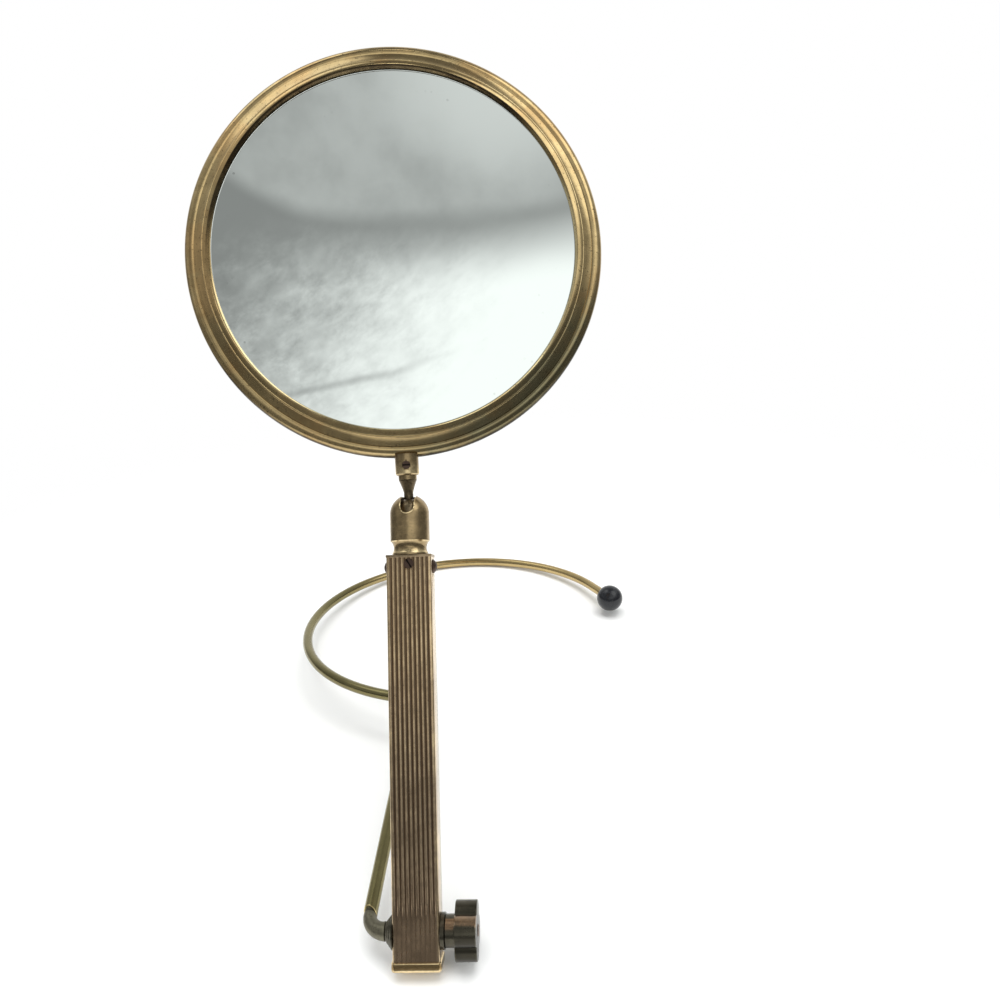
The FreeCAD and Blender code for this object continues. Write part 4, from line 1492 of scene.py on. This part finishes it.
@dataclass(frozen=True)
class FlutedColumn(SubAssembly):
    """Flat drawn tube, reeded on both broad faces, with its end pieces and screws."""

    half_width: float = 10.0
    half_depth: float = 5.75
    corner: float = 0.7
    flutes: int = 9
    pitch: float = 2.0
    flute_radius: float = 0.8
    flute_depth: float = 0.35
    foot: float = -10.4
    top: float = 158.4
    rubbed_low: float = 1.0
    rubbed_high: float = 15.0
    rubbed_depth: float = 0.22
    plate: float = 1.2
    plate_overhang: float = 0.2
    plate_edge: float = 0.15
    plate_corner: float = 0.35
    cap: float = 4.0
    cap_overhang: float = 0.6
    cap_round: float = 1.2
    cap_corner: float = 1.5
    cap_steps: int = 6
    cap_side: float = 0.4
    cap_rim: tuple[Triple, ...] = ((0.6, 0.0, -0.3), (0.4, 0.0, 0.3), (0.12, 0.08, 0.45), (0.0, 0.3, 0.45))
    face_screw_drop: float = 4.0
    face_screw_recess: float = 0.3
    side_screw_drop: float = 5.4
    slot_slant: float = 59.0
    screw_hole: float = 1.2
    crease: float = 28.0
    foot_levels: Pair = (0.02, 0.3)
    worn_pitch: float = 1.2
    worn_levels: int = 25
    plain_levels: int = 24
    flute_steps: int = 8
    corner_steps: int = 5
    face_screw: SlottedScrew = SlottedScrew(2.15, 0.05, 1.5, 0.0, 0.7, 0.6)
    side_screw: SlottedScrew = SlottedScrew(3.1, 1.9, 0.3, 1.6)

    def build(self) -> None:
        """Make and dress the column, its plate, cap and screws."""
        place = STANCE.column()
        levels = [self.foot + rise for rise in self.foot_levels]
        levels += [self.foot + self.worn_pitch * number for number in range(1, self.worn_levels + 1)]
        last = levels[-1]
        levels += [blend(last, self.top, number / self.plain_levels) for number in range(1, self.plain_levels + 1)]
        tube = stack(self.reeded, [Layer(level) for level in levels]).piece("reeded_tube", place, self.crease)
        carve(tube, [self.face_screw.sink(self.front_seat(), self.screw_hole)], self.crease)
        self.workshop.hang(tube, Body.COLUMN, "column_brass", COLUMN_BRASS, ["column_tube"])
        self.build_ends()
        self.build_screws()
        self.workshop.dress_node("pivot_bush", HIDDEN_BRONZE)

    def flute_cut(self, height: float) -> float:
        """Depth of the flutes at a height: rubbed shallow round the pivot."""
        return blend(self.rubbed_depth, 1.0, self.kept(height)) * self.flute_depth

    def kept(self, height: float) -> float:
        """Share of the flutes' first depth and edge that is left at a height."""
        return smoothstep(height, self.rubbed_low, self.rubbed_high)

    def reeded(self, layer: Layer) -> list[Stop]:
        """Outline of the tube at a level.

        Args:
            layer: the level.

        Returns:
            Its points from the front's left end round to the left side, with bright crests and dull hollows.
        """
        cut = self.flute_cut(layer.height)
        kept = self.kept(layer.height)
        crest, hollow = blend(0.5, 0.78, kept), blend(0.2, 0.0, kept)
        bow = (self.flute_radius ** 2 - (self.flute_radius - self.flute_depth) ** 2) ** 0.5
        face: list[Stop] = []
        for number in range(self.flutes):
            middle = (number - (self.flutes - 1) / 2) * self.pitch
            for step in range(self.flute_steps + 1):
                across = blend(-bow, bow, step / self.flute_steps)
                low = cut * (1.0 - (across / bow) ** 2)
                face.append(Stop(middle + across, self.half_depth - low, blend(crest, hollow, low / cut)))
        wide, deep = self.half_width - self.corner, self.half_depth - self.corner
        stops = [Stop(stop.radius, -stop.height, stop.wear_and_painted_light) for stop in face]
        stops += self.rounded(wide, -deep, -90.0) + self.rounded(wide, deep, 0.0)
        stops += [Stop(-stop.radius, stop.height, stop.wear_and_painted_light) for stop in face]
        return stops + self.rounded(-wide, deep, 90.0) + self.rounded(-wide, -deep, 180.0)

    def rounded(self, across: float, back: float, first: float) -> list[Stop]:
        """Rounded corner of the tube.

        Args:
            across: X of its middle.
            back: Y of its middle.
            first: angle in degrees where it starts.

        Returns:
            Its points, rubbed bright along the edge.
        """
        stops = []
        for step in range(self.corner_steps + 1):
            turn = math.radians(first + 90.0 * step / self.corner_steps)
            stops.append(Stop(across + self.corner * math.cos(turn), back + self.corner * math.sin(turn), 0.85))
        return stops

    def build_ends(self) -> None:
        """Plate at the top and rounded cap at the foot."""
        place = STANCE.column()
        over, edge, plate_top = self.plate_overhang, self.plate_edge, self.top + self.plate
        line = rounded_block(self.half_width + over, self.half_depth + over, self.plate_corner, 4)
        layers = [Layer(self.top, edge), Layer(self.top + edge), Layer(plate_top - edge), Layer(plate_top, edge)]
        plate = stack(line, layers).piece("top_plate", place)
        self.workshop.hang(plate, Body.COLUMN, "column_brass", PLATE_BRASS, ["top_plug"])
        low, over = self.foot - self.cap, self.cap_overhang
        layers = []
        for number in range(self.cap_steps + 1):
            turn = math.pi / 2 * number / self.cap_steps
            inset = self.cap_round * (1 - math.sin(turn))
            layers.append(Layer(low + self.cap_round * (1 - math.cos(turn)), inset, 0.3))
        layers.append(Layer(blend(low + self.cap_round, self.foot, self.cap_side), 0.0, -0.35))
        layers += [Layer(self.foot - drop, inset, wear_and_painted_light) for drop, inset, wear_and_painted_light in self.cap_rim]
        line = rounded_block(self.half_width + over, self.half_depth + over, self.cap_corner, 8)
        cap = stack(line, layers).piece("foot_cap", place)
        self.workshop.hang(cap, Body.COLUMN, "cap_brass", CAP_BRASS, ["bottom_cap"])

    def front_seat(self) -> Matrix:
        """Frame at the front screw's head, Z out of the column's face."""
        back, height = self.face_screw_recess - self.half_depth, self.top + self.plate - self.face_screw_drop
        return shifted(STANCE.column(), 0.0, back, height) @ turned("X", 90.0)

    def build_screws(self) -> None:
        """Flush screw in front and a domed one in each side."""
        height = self.top + self.plate - self.side_screw_drop
        screw = self.face_screw.build("front_screw", self.front_seat() @ turned("Z", -self.slot_slant))
        self.workshop.hang(screw, Body.COLUMN, "screw_steel", SCREW_STEEL, ["face_screw"])
        for side, name in ((-1, "left_screw"), (1, "right_screw")):
            seat = shifted(STANCE.column(), side * self.half_width, 0.0, height)
            screw = self.side_screw.build(name, seat @ turned("Y", 90.0 * side))
            self.workshop.hang(screw, Body.COLUMN, "screw_steel", SCREW_STEEL, ["side_screws"] if side < 0 else [])


@dataclass(frozen=True)
class ClampedPivot(SubAssembly):
    """Washers, collar, lobed knob and bolt on the pivot's line."""

    half_width: float = 10.0
    bolt: float = 2.5
    bolt_proud: float = 0.4
    washer: float = 7.2
    washer_length: float = 2.1
    washer_edge: float = 0.25
    hairline: float = 0.05
    collar: float = 6.5
    collar_length: float = 4.2
    collar_edge: float = 0.2
    knob_across: float = 23.6
    lobe: float = 6.1
    lobes: int = 4
    knob_length: float = 9.3
    knob_edge: float = 0.35
    cone_large: float = 7.3
    cone_small: float = 3.9
    cone_length: float = 3.9
    cone_steps: int = 4
    cone_land: float = 0.55
    cone_fall: float = 0.4
    bore_play: float = 0.05
    segments: int = 64
    knob_segments: int = 240
    # Painted highlight on the knob's upper flank and painted shade on its front and lower flanks, in degrees about
    # the knob.
    highlight_start: Pair = (44.0, 47.0)
    highlight_end: Pair = (72.0, 88.0)
    highlight_gain: float = 0.8
    shade_start: Pair = (92.0, 108.0)
    shade_end: Pair = (215.0, 225.0)
    shade_drop: float = -0.3

    def build(self) -> None:
        """Make and dress the pieces of the pivot."""
        place = STANCE.pivot_right()
        flat = self.disc(self.half_width, self.washer, self.washer_length - self.hairline, self.washer_edge)
        washer = lathe(flat, self.segments, closed=True).piece("flat_washer", place)
        self.workshop.hang(washer, Body.COLUMN, "dark_bronze", DARK_BRONZE, ["clamp_washer"])
        start = self.half_width + self.washer_length
        rim = self.disc(start, self.collar, self.collar_length, self.collar_edge)
        # The collar takes the knob's painted highlight and painted shade.
        collar = lathe(rim, self.segments, closed=True).repaint(self.collar_painted_light).piece("plain_collar", place)
        self.workshop.hang(collar, Body.KNOB, "dark_bronze", DARK_BRONZE, ["knob_collar"])
        self.build_knob()
        self.build_cone()
        end = start + self.collar_length + self.knob_length + self.bolt_proud
        left = -self.half_width - self.cone_length
        rod = Profile(0.0, left, 0.0).to(self.bolt, left, 0.0).to(self.bolt, end - self.bolt_proud, 0.4, 6)
        rod.to(self.bolt - self.bolt_proud, end, 0.9).to(0.0, end, 0.6, 3)
        bolt = lathe(rod, 48).piece("through_bolt", place)
        self.workshop.hang(bolt, Body.BASE, "screw_steel", SCREW_STEEL, ["pivot_bolt"])

    def disc(self, start: float, radius: float, length: float, edge: float) -> Profile:
        """Closed outline of a bored disc with broken edges.

        Args:
            start: where it starts along the bolt.
            radius: its radius.
            length: its length along the bolt.
            edge: size of its broken edges.

        Returns:
            The outline.
        """
        bore = self.bolt + self.bore_play
        outline = Profile(bore, start, 0.0).to(radius - edge, start, 0.2).to(radius, start + edge, 0.8)
        outline.to(radius, start + length - edge, 0.8, 2).to(radius - edge, start + length, 0.5)
        return outline.to(bore, start + length, 0.1)

    def painted_flank_light(self, angle: float) -> float:
        """Paint a highlight on the knob's upper flank and shade on its front and lower flanks.

        Args:
            angle: degrees about the knob.

        Returns:
            The added brightness.
        """
        # Upper flank brighter, front and lower flanks darker: painted highlight and painted shade.
        rubbed = smoothstep(angle, *self.highlight_start) * (1.0 - smoothstep(angle, *self.highlight_end))
        shaded_flank = smoothstep(angle, *self.shade_start) * (1.0 - smoothstep(angle, *self.shade_end))
        return self.highlight_gain * rubbed + self.shade_drop * shaded_flank

    def collar_painted_light(self, point: Vector, wear_and_painted_light: float) -> float:
        """Brightness of a point on the collar, with the same painted highlight and painted shade as the knob's
        flanks.
        """
        angle = math.degrees(math.atan2(point.y, point.x)) - 90.0 - STANCE.knob_turn
        return wear_and_painted_light + self.painted_flank_light(angle % 360.0)

    def lobed(self, layer: Layer) -> list[Stop]:
        """Outline of the knob, the outermost of hub and lobes in each direction.

        Args:
            layer: the level, with its inset.

        Returns:
            Its points.
        """
        throw = self.knob_across / 2 - self.lobe
        spread = math.tau / self.lobes
        stops = []
        for number in range(self.knob_segments):
            angle = math.tau * number / self.knob_segments
            off = (angle + spread / 2) % spread - spread / 2
            reach = self.collar
            inside = self.lobe ** 2 - (throw * math.sin(off)) ** 2
            if inside > 0.0:
                reach = max(reach, throw * math.cos(off) + math.sqrt(inside))
            reach -= layer.inset
            # Painted highlight or painted shade by the flank's angle.
            wear_and_painted_light = PLAIN_WEAR + self.painted_flank_light(math.degrees(angle))
            stops.append(Stop(reach * math.cos(angle), reach * math.sin(angle), wear_and_painted_light))
        return stops

    def build_knob(self) -> None:
        """Knob of round lobes about a hub, its edges broken, bored for the bolt."""
        start = self.half_width + self.washer_length + self.collar_length
        place = shifted(STANCE.pivot_right(), z=start) @ turned("Z", 90.0 + STANCE.knob_turn)
        count, radius = self.knob_segments, self.bolt + self.bore_play
        turns = [math.tau * number / count for number in range(count)]
        bore = [Stop(radius * math.cos(turn), radius * math.sin(turn), 0.1) for turn in turns]
        edge, length = self.knob_edge, self.knob_length
        rounding = [Layer(0.0, edge), Layer(edge * 0.3, edge * 0.3, 0.3), Layer(edge, 0.0, 0.15), Layer(edge * 2)]
        levels = rounding + [Layer(length - layer.height, layer.inset, layer.wear_and_painted_light) for layer in reversed(rounding)]
        draft = stack(self.lobed, levels, capped=False)
        outer = len(draft.points)
        inner = stack(lambda layer: bore, [Layer(0.0), Layer(length)], capped=False)
        draft.points += inner.points
        draft.wear_and_painted_light += inner.wear_and_painted_light
        draft.faces += [tuple(outer + corner for corner in face) for face in inner.faces]
        for first, second in ((0, outer), (outer - count, outer + count)):
            draft.join_rings(range(first, first + count), range(second, second + count))
        knob = draft.piece("lobed_knob", place, 30.0)
        self.workshop.hang(knob, Body.KNOB, "dark_bronze", DARK_BRONZE, ["clamp_knob"])

    def build_cone(self) -> None:
        """Stepped conical washer between the elbow and the column."""
        left = -self.half_width
        step = self.cone_length / self.cone_steps
        outline = Profile(self.bolt, left, 0.0)
        for number in range(self.cone_steps):
            radius = blend(self.cone_large, self.cone_small, number / (self.cone_steps - 1))
            outline.to(radius, left - number * step, 0.3)
            outline.to(radius, left - number * step - step * self.cone_land, 0.8)
            outline.to(radius - self.cone_fall, left - (number + 1) * step, 0.4)
        outline.to(self.bolt, left - self.cone_length, 0.0)
        cone = lathe(outline, self.segments, closed=True).piece("stepped_cone", STANCE.pivot_right(), 25.0)
        self.workshop.hang(cone, Body.BASE, "dark_bronze", DARK_BRONZE, ["cone_washer"])


@dataclass(frozen=True)
class BentBase(SubAssembly):
    """Bent tube: arm, corner and open ring on the table, with the elbow at one end and a ball at the other."""

    tube: float = 3.14
    wall: float = 0.7
    ring_radius: float = 106.7
    ring_reach: float = 247.6
    ring_side: float = 0.9
    ring_slope: float = 6.3
    ring_corner: float = 1.5
    corner_bend: float = 20.0
    ring_end: float = 27.0
    tail: float = 24.0
    arm_side: float = 21.9
    arm_splay: float = 3.8
    elbow_bend: float = 8.0
    elbow_large: float = 3.9
    elbow_small: float = 2.8
    end_slant: float = 0.75
    end_twist: float = 0.6
    end_edge: float = 0.15
    end_depth: float = 5.0
    spigot: float = 7.0
    fit: float = 0.02
    elbow_taper: float = 0.8
    arm_stations: tuple[float, ...] = (0.08, 0.2, 0.35, 0.5, 0.65, 0.8, 0.95)
    tail_stations: tuple[float, ...] = (0.3, 0.6, 0.9, 1.0)
    bend_steps: int = 16
    ring_steps: int = 120
    segments: int = 32
    tip: float = 9.27
    tip_socket: float = 8.0
    tip_lip: float = 0.25

    def build(self) -> None:
        """Make and dress the tube, the elbow and the ball."""
        pivot = joint_place("column_lean") / MM
        slope = math.radians(self.ring_slope)
        across = Vector((1.0, 0.0, 0.0))
        backward = Vector((0.0, math.cos(slope), -math.sin(slope)))
        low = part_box("base_tube")[0].z / MM
        middle = Vector((pivot.x + self.ring_side, pivot.y + self.ring_reach,
                         low + self.ring_radius * math.sin(slope) + self.tube))

        def on_ring(angle: float) -> Vector:
            """Point on the ring's middle line."""
            return middle + (across * math.cos(angle) + backward * math.sin(angle)) * self.ring_radius

        def along_ring(angle: float) -> Vector:
            """Course of the tube on the ring, from the arm to the ball."""
            return across * math.sin(angle) - backward * math.cos(angle)

        corner_radius = self.ring_radius + self.ring_corner
        side = self.arm_splay - self.arm_side - self.ring_side
        back = -math.sqrt(corner_radius ** 2 - side ** 2)
        corner = middle + across * side + backward * back
        arm_start = pivot - across * self.arm_side
        arm = (corner - arm_start).normalized()
        meet = math.atan2(back, side) % math.tau - math.acos(self.ring_radius / corner_radius)
        lead = along_ring(meet)
        turn = arm.angle(lead)
        inset = self.corner_bend * math.tan(turn / 2)
        axis = arm.cross(lead).normalized()
        centre = corner - arm * inset + axis.cross(arm) * self.corner_bend
        start = arm_start + arm * self.elbow_bend
        bend_start = corner - arm * inset
        spoke = bend_start - centre
        end = math.radians(self.ring_end)
        bore, edge = self.tube - self.wall, self.end_edge
        stations = [Station(start + arm * self.end_depth, arm, bore, 0.0)]
        for ahead, radius, wear_and_painted_light in ((0.0, bore, 0.2), (0.0, self.tube - edge, 1.0), (edge, self.tube, 1.0),
                                    (4 * edge, self.tube, 0.5)):
            stations.append(Station(start + arm * ahead, arm, radius, wear_and_painted_light, self.end_slant, self.end_twist))
        stations += [Station(start.lerp(bend_start, share), arm, self.tube)
                     for share in self.arm_stations]
        for number in range(self.bend_steps + 1):
            spin = Matrix.Rotation(turn * number / self.bend_steps, 3, axis)
            stations.append(Station(centre + spin @ spoke, spin @ arm, self.tube, 0.62))
        for number in range(1, self.ring_steps + 1):
            angle = meet + (end - meet) * number / self.ring_steps
            stations.append(Station(on_ring(angle), along_ring(angle), self.tube))
        last, course = on_ring(end), along_ring(end)
        stations += [Station(last + course * (self.tail * share), course, self.tube)
                     for share in self.tail_stations]
        tube = sweep(stations, self.segments, UP).piece("bent_tube", Matrix())
        self.workshop.hang(tube, Body.BASE, "tube_brass", TUBE_BRASS, ["base_tube"])
        self.build_elbow(arm_start + across * self.elbow_bend, arm, across)
        self.build_tip(last + course * (self.tail + self.tip - self.tip_socket), course)

    def build_elbow(self, start: Vector, arm: Vector, across: Vector) -> None:
        """Cast elbow, thinner towards the tube, with its spigot inside.

        Args:
            start: the elbow's end at the cone washer.
            arm: course of the tube.
            across: direction to the right.
        """
        centre = start + arm * self.elbow_bend
        stations = [Station(start, across * -1.0, self.elbow_large, 0.3)]
        for number in range(self.bend_steps + 1):
            share = number / self.bend_steps
            angle = math.pi / 2 * share
            place = centre - (arm * math.cos(angle) + across * math.sin(angle)) * self.elbow_bend
            course = arm * math.sin(angle) - across * math.cos(angle)
            radius = blend(self.elbow_large, self.elbow_small, share ** self.elbow_taper)
            stations.append(Station(place, course, radius, 0.45))
        end, inner = stations[-1].place, self.tube - self.wall - self.fit
        stations += [Station(end + arm * ahead, arm, inner, 0.0) for ahead in (0.0, self.spigot)]
        elbow = sweep(stations, self.segments, UP).piece("cast_elbow", Matrix(), 40.0)
        self.workshop.hang(elbow, Body.BASE, "dark_bronze", ELBOW_BRONZE, ["elbow"])

    def build_tip(self, middle: Vector, course: Vector) -> None:
        """Black ball over the tube's end, with a small flat and mouth.

        Args:
            middle: middle of the ball.
            course: course of the tube's end.
        """
        turn = UP.rotation_difference(course).to_matrix().to_4x4()
        place = Matrix.Translation(middle * MM) @ turn
        mouth, floor = self.tube + self.fit, self.tip_socket - self.tip
        lip = -math.sqrt(self.tip ** 2 - (mouth + self.tip_lip) ** 2)
        outline = Profile(0.0, floor, 0.0).to(mouth, floor, 0.0).to(mouth, lip + 0.2, 0.1)
        outline.to(mouth + self.tip_lip, lip, 0.3).arc((self.tip, 0.0), (0.0, self.tip), (0.5, 0.5), 48)
        ball = lathe(outline, 72).piece("black_ball", place)
        self.workshop.hang(ball, Body.BASE, "black_ball", BALL_BLACK, ["ball_tip"])


@dataclass(frozen=True)
class RoomPatch:
    """Soft round patch of the room round the object, by its direction."""

    azimuth: float
    elevation: float
    inner: float
    outer: float
    tone: float

    def direction(self) -> Vector:
        """Unit vector towards the patch; azimuth 0 is towards the camera, positive to the right."""
        side, rise = math.radians(self.azimuth), math.radians(self.elevation)
        return Vector((math.sin(side) * math.cos(rise), -math.cos(side) * math.cos(rise), math.sin(rise)))


class RoomBoard(NodeBoard):
    """Shader tree of the room, with its directions: across to the right, depth away from the camera, rise up."""

    CLOUD_SCALE = 9.0

    def __init__(self, world: bpy.types.World) -> None:
        """Start with the directions and a broad cloudy pattern.

        Args:
            world: the world.
        """
        super().__init__(world)
        self.way = self.add("TexCoord").outputs["Generated"]
        self.across, self.depth, self.rise = self.add("SeparateXYZ", {0: self.way}).outputs
        self.cloud = self.noise(self.way, self.CLOUD_SCALE, detail=5.0, rough=0.6)

    def inside(self, patch: RoomPatch) -> Socket:
        """Share of a patch in each direction."""
        inner, outer = (math.cos(math.radians(angle)) for angle in (patch.inner, patch.outer))
        return self.step(self.along(self.way, patch.direction()), outer, inner)


@dataclass(frozen=True)
class SoftLamp:
    """Square lamp, not reflected by the part: its place and size in metres, and its watts."""

    name: str
    place: Triple
    size: float
    watts: float

    def build(self, target: Triple) -> None:
        """Hang the lamp and aim it at a target.

        Args:
            target: where it points, in metres.
        """
        data = bpy.data.lights.new(self.name, "AREA")
        data.size = self.size
        data.energy = self.watts
        lamp = bpy.data.objects.new(self.name, data)
        lamp.visible_glossy = False
        bpy.context.scene.collection.objects.link(lamp)
        place = Vector(self.place)
        aim = (Vector(target) - place).to_track_quat("-Z", "Y").to_matrix().to_4x4()
        lamp.matrix_world = Matrix.Translation(place) @ aim


@dataclass(frozen=True)
class Studio:
    """Camera, floor, lamps and the room that the metal and the glass reflect."""

    eye: Triple = (58.5, -237.54, 301.99)
    pitch: float = 23.6
    roll: float = -3.48
    yaw: float = -3.01
    focal_pixels: float = 803.3
    image_width: float = 1000.0
    sensor: float = 36.0
    near: float = 0.01
    floor_tone: Colour = (0.95, 0.95, 0.95)
    floor_radius: float = 0.62
    floor_drop: float = 0.0004
    floor_fade: Pair = (0.45, 0.98)
    front_tones: tuple[Pair, ...] = ((0.25, 0.20), (0.5, 0.20), (0.58, 0.23), (0.70, 0.34), (0.80, 0.42),
                                     (0.88, 0.48), (0.92, 0.50), (0.98, 0.14))
    back_tones: tuple[Pair, ...] = ((0.25, 0.60), (0.5, 0.95), (0.68, 0.95), (0.80, 0.62), (0.90, 0.50),
                                    (0.985, 0.14))
    back_span: Pair = (0.30, 0.97)
    front_span: Pair = (-0.2, -0.5)
    zenith_ease: float = 0.02
    cloud_span: Pair = (0.3, 0.7)
    cloud_tones: Pair = (0.86, 1.1)
    tint: Colour = (0.975, 1.0, 0.985)
    wall_edge: Pair = (0.732, 0.712)
    wall_foot: Pair = (0.5, 0.62)
    wall_corner: Pair = (-0.08, -0.24)
    wall_corner_rise: float = 0.03
    wall_tone: float = 0.28
    window_rise: Pair = (0.730, 0.656)
    window_foot: Pair = (0.25, 0.55)
    window_side: Pair = (-0.26, 0.12)
    window_slope: float = 0.8
    window_hinge: float = 0.62
    window_tone: float = 1.15
    window_cloud: float = 0.36
    window_cloud_share: float = 0.35
    streak: float = 27.0
    streak_scale: float = 70.0
    streak_stretch: float = 0.5
    streak_slice: float = 0.3
    fold_slope: float = 0.21
    fold_rise: float = 0.589
    fold_width: float = 0.006
    fold_side: Pair = (0.10, -0.06)
    fold_share: float = 0.55
    fold_tone: float = 0.35
    patches: tuple[RoomPatch, ...] = (
        RoomPatch(14.0, 56.0, 2.0, 10.0, 0.72),
        RoomPatch(0.0, 81.0, 2.0, 5.0, 2.0),
        RoomPatch(-118.0, 62.0, 10.0, 20.0, 1.6),
        RoomPatch(74.0, 56.0, 16.0, 25.0, 1.9),
        RoomPatch(-72.0, 30.0, 6.0, 22.0, 0.40),
        RoomPatch(48.0, 8.0, 6.0, 24.0, 0.14),
        RoomPatch(-48.0, 6.0, 6.0, 22.0, 0.15),
    )
    background: RoomPatch = RoomPatch(178.0, -15.0, 36.0, 56.0, 1.0)
    lamps: tuple[SoftLamp, ...] = (
        SoftLamp("top_lamp", (0.1, 0.0, 1.5), 1.1, 16.0),
        SoftLamp("front_lamp", (-0.8, -0.9, 1.0), 0.8, 5.0),
    )
    lamp_target: Triple = (0.0, 0.0, 0.1)

    def build(self) -> None:
        """Set up the camera, the floor, the room and the lamps."""
        bpy.context.scene.view_settings.view_transform = "Standard"
        self.build_camera()
        self.build_floor()
        self.build_room()
        for lamp in self.lamps:
            lamp.build(self.lamp_target)

    def build_camera(self) -> None:
        """Camera at the photograph's place and angle, measured from the pivot."""
        pitch, roll, yaw = (math.radians(angle) for angle in (self.pitch, self.roll, self.yaw))
        forward = Vector((math.sin(yaw) * math.cos(pitch), math.cos(yaw) * math.cos(pitch), -math.sin(pitch)))
        level = forward.cross(UP).normalized()
        upright = level.cross(forward)
        right = level * math.cos(roll) + upright * math.sin(roll)
        up = upright * math.cos(roll) - level * math.sin(roll)
        data = bpy.data.cameras.new("camera")
        data.sensor_width = self.sensor
        data.lens = self.focal_pixels * self.sensor / self.image_width
        data.clip_start = self.near
        camera = bpy.data.objects.new("camera", data)
        bpy.context.scene.collection.objects.link(camera)
        turn = Matrix((right, up, -forward)).transposed().to_4x4()
        camera.matrix_world = Matrix.Translation(joint_place("column_lean") + Vector(self.eye) * MM) @ turn
        bpy.context.scene.camera = camera

    def build_floor(self) -> None:
        """Pale round floor that keeps the shadow, fades into the background and is clear from below."""
        outline = Profile(self.floor_radius / MM, 0.0).to(0.0, 0.0, steps=8)
        floor = lathe(outline, 96).piece("pale_floor", Matrix.Translation(UP * -self.floor_drop))
        board = new_board("pale_floor")
        place = board.add("TexCoord").outputs["Object"]
        length = board.add("VectorMath", {0: place}, operation="LENGTH").outputs["Value"]
        fade = board.step(length, *(self.floor_radius * share for share in self.floor_fade))
        fade = board.math("MAXIMUM", fade, board.add("NewGeometry").outputs["Backfacing"])
        diffuse = board.add("BsdfDiffuse", {"Color": (*self.floor_tone, 1.0)})
        clear = board.add("BsdfTransparent")
        surface = board.add("MixShader", {0: fade, 1: diffuse.outputs[0], 2: clear.outputs[0]})
        board.add("OutputMaterial", {"Surface": surface.outputs[0]})
        floor.data.materials.append(board.owner)

    def build_room(self) -> None:
        """World: the white background, and a soft room with walls, a ceiling and a window."""
        world = bpy.data.worlds.new("room")
        bpy.context.scene.world = world
        room = RoomBoard(world)
        camera_side = room.step(room.depth, *self.front_span)
        tone = room.glaze(1.0, self.walls(room), room.step(room.cloud, *self.cloud_span, *self.cloud_tones))
        for share, grey in ((self.low_wall(room), self.wall_tone), (self.window(room), self.window_tone),
                            (self.fold(room), self.fold_tone)):
            tone = room.mix(room.times(share, camera_side), tone, (grey,) * 3)
        for patch in self.patches:
            tone = room.mix(room.inside(patch), tone, (patch.tone,) * 3)
        tone = room.glaze(1.0, tone, self.tint)
        path = room.add("LightPath").outputs
        seen = room.math("MAXIMUM", path["Is Glossy Ray"], path["Is Transmission Ray"])
        seen = room.times(seen, room.inside(self.background))
        tone = room.mix(room.math("MAXIMUM", path["Is Camera Ray"], seen), tone, WHITE)
        background = room.add("Background", {"Color": tone, "Strength": 1.0})
        room.add("OutputWorld", {"Surface": background.outputs[0]})

    def walls(self, room: RoomBoard) -> Socket:
        """Grade the walls and the ceiling by height, in front and behind.

        Args:
            room: the room's tree.

        Returns:
            Their tone.
        """
        level = room.weighted(0.5, (room.rise, 0.5))
        flat = room.plus(room.length(room.across, room.depth), self.zenith_ease)
        behind = room.step(room.math("DIVIDE", room.depth, flat), *self.back_span)
        return room.mix(behind, room.grade(level, self.front_tones), room.grade(level, self.back_tones))

    def low_wall(self, room: RoomBoard) -> Socket:
        """Darken the wall below the ceiling's line, which steps up at the room's corner.

        Args:
            room: the room's tree.

        Returns:
            The wall's share, 0 to 1.
        """
        corner = room.times(room.step(room.across, *self.wall_corner), self.wall_corner_rise)
        wall = room.step(room.less(room.rise, corner), *self.wall_edge)
        return room.times(wall, room.step(room.rise, *self.wall_foot))

    def window(self, room: RoomBoard) -> Socket:
        """Light the window, its left edge broken by the folds of a curtain.

        Args:
            room: the room's tree.

        Returns:
            The window's share, 0 to 1.
        """
        streaks = room.noise(self.streaked(room), self.streak_scale, detail=6.0, rough=0.7)
        cloud_share = self.window_cloud_share
        uneven = room.weighted(0.0, (room.cloud, cloud_share), (streaks, 1.0 - cloud_share))
        uneven = room.times(room.less(uneven, 0.5), self.window_cloud)
        uneven = room.weighted(uneven, (room.less(self.window_hinge, room.rise), self.window_slope))
        height = room.times(room.step(room.rise, *self.window_rise), room.step(room.rise, *self.window_foot))
        return room.times(height, room.step(room.plus(room.across, uneven), *self.window_side))

    def fold(self, room: RoomBoard) -> Socket:
        """Draw the thin dark line that slants across the window's left part.

        Args:
            room: the room's tree.

        Returns:
            The line's share, 0 to 1.
        """
        line = room.less(room.less(room.rise, room.times(room.across, self.fold_slope)), self.fold_rise)
        dark = room.step(room.math("ABSOLUTE", line), self.fold_width, 0.0)
        return room.times(dark, room.step(room.across, *self.fold_side, 0.0, self.fold_share))

    def streaked(self, room: RoomBoard) -> Socket:
        """Draw the directions out along the curtain's slanting folds.

        Args:
            room: the room's tree.

        Returns:
            The drawn-out coordinates.
        """
        slant = math.radians(self.streak)
        along = room.weighted(0.0, (room.across, math.cos(slant)), (room.rise, math.sin(slant)))
        over = room.weighted(0.0, (room.rise, math.cos(slant)), (room.across, -math.sin(slant)))
        along = room.times(along, self.streak_stretch)
        return room.add("CombineXYZ", {0: along, 1: over, 2: self.streak_slice}).outputs[0]


def main() -> None:
    """Build the studio and every sub-assembly."""
    logging.basicConfig(level=logging.INFO, format="%(name)s: %(message)s")
    workshop = Workshop()
    Studio().build()
    for kind in (MirrorHead, BallSocket, FlutedColumn, ClampedPivot, BentBase):
        kind(workshop).build()
        LOG.info("%s done", kind.__name__)


if __name__ == "__main__":
    main()
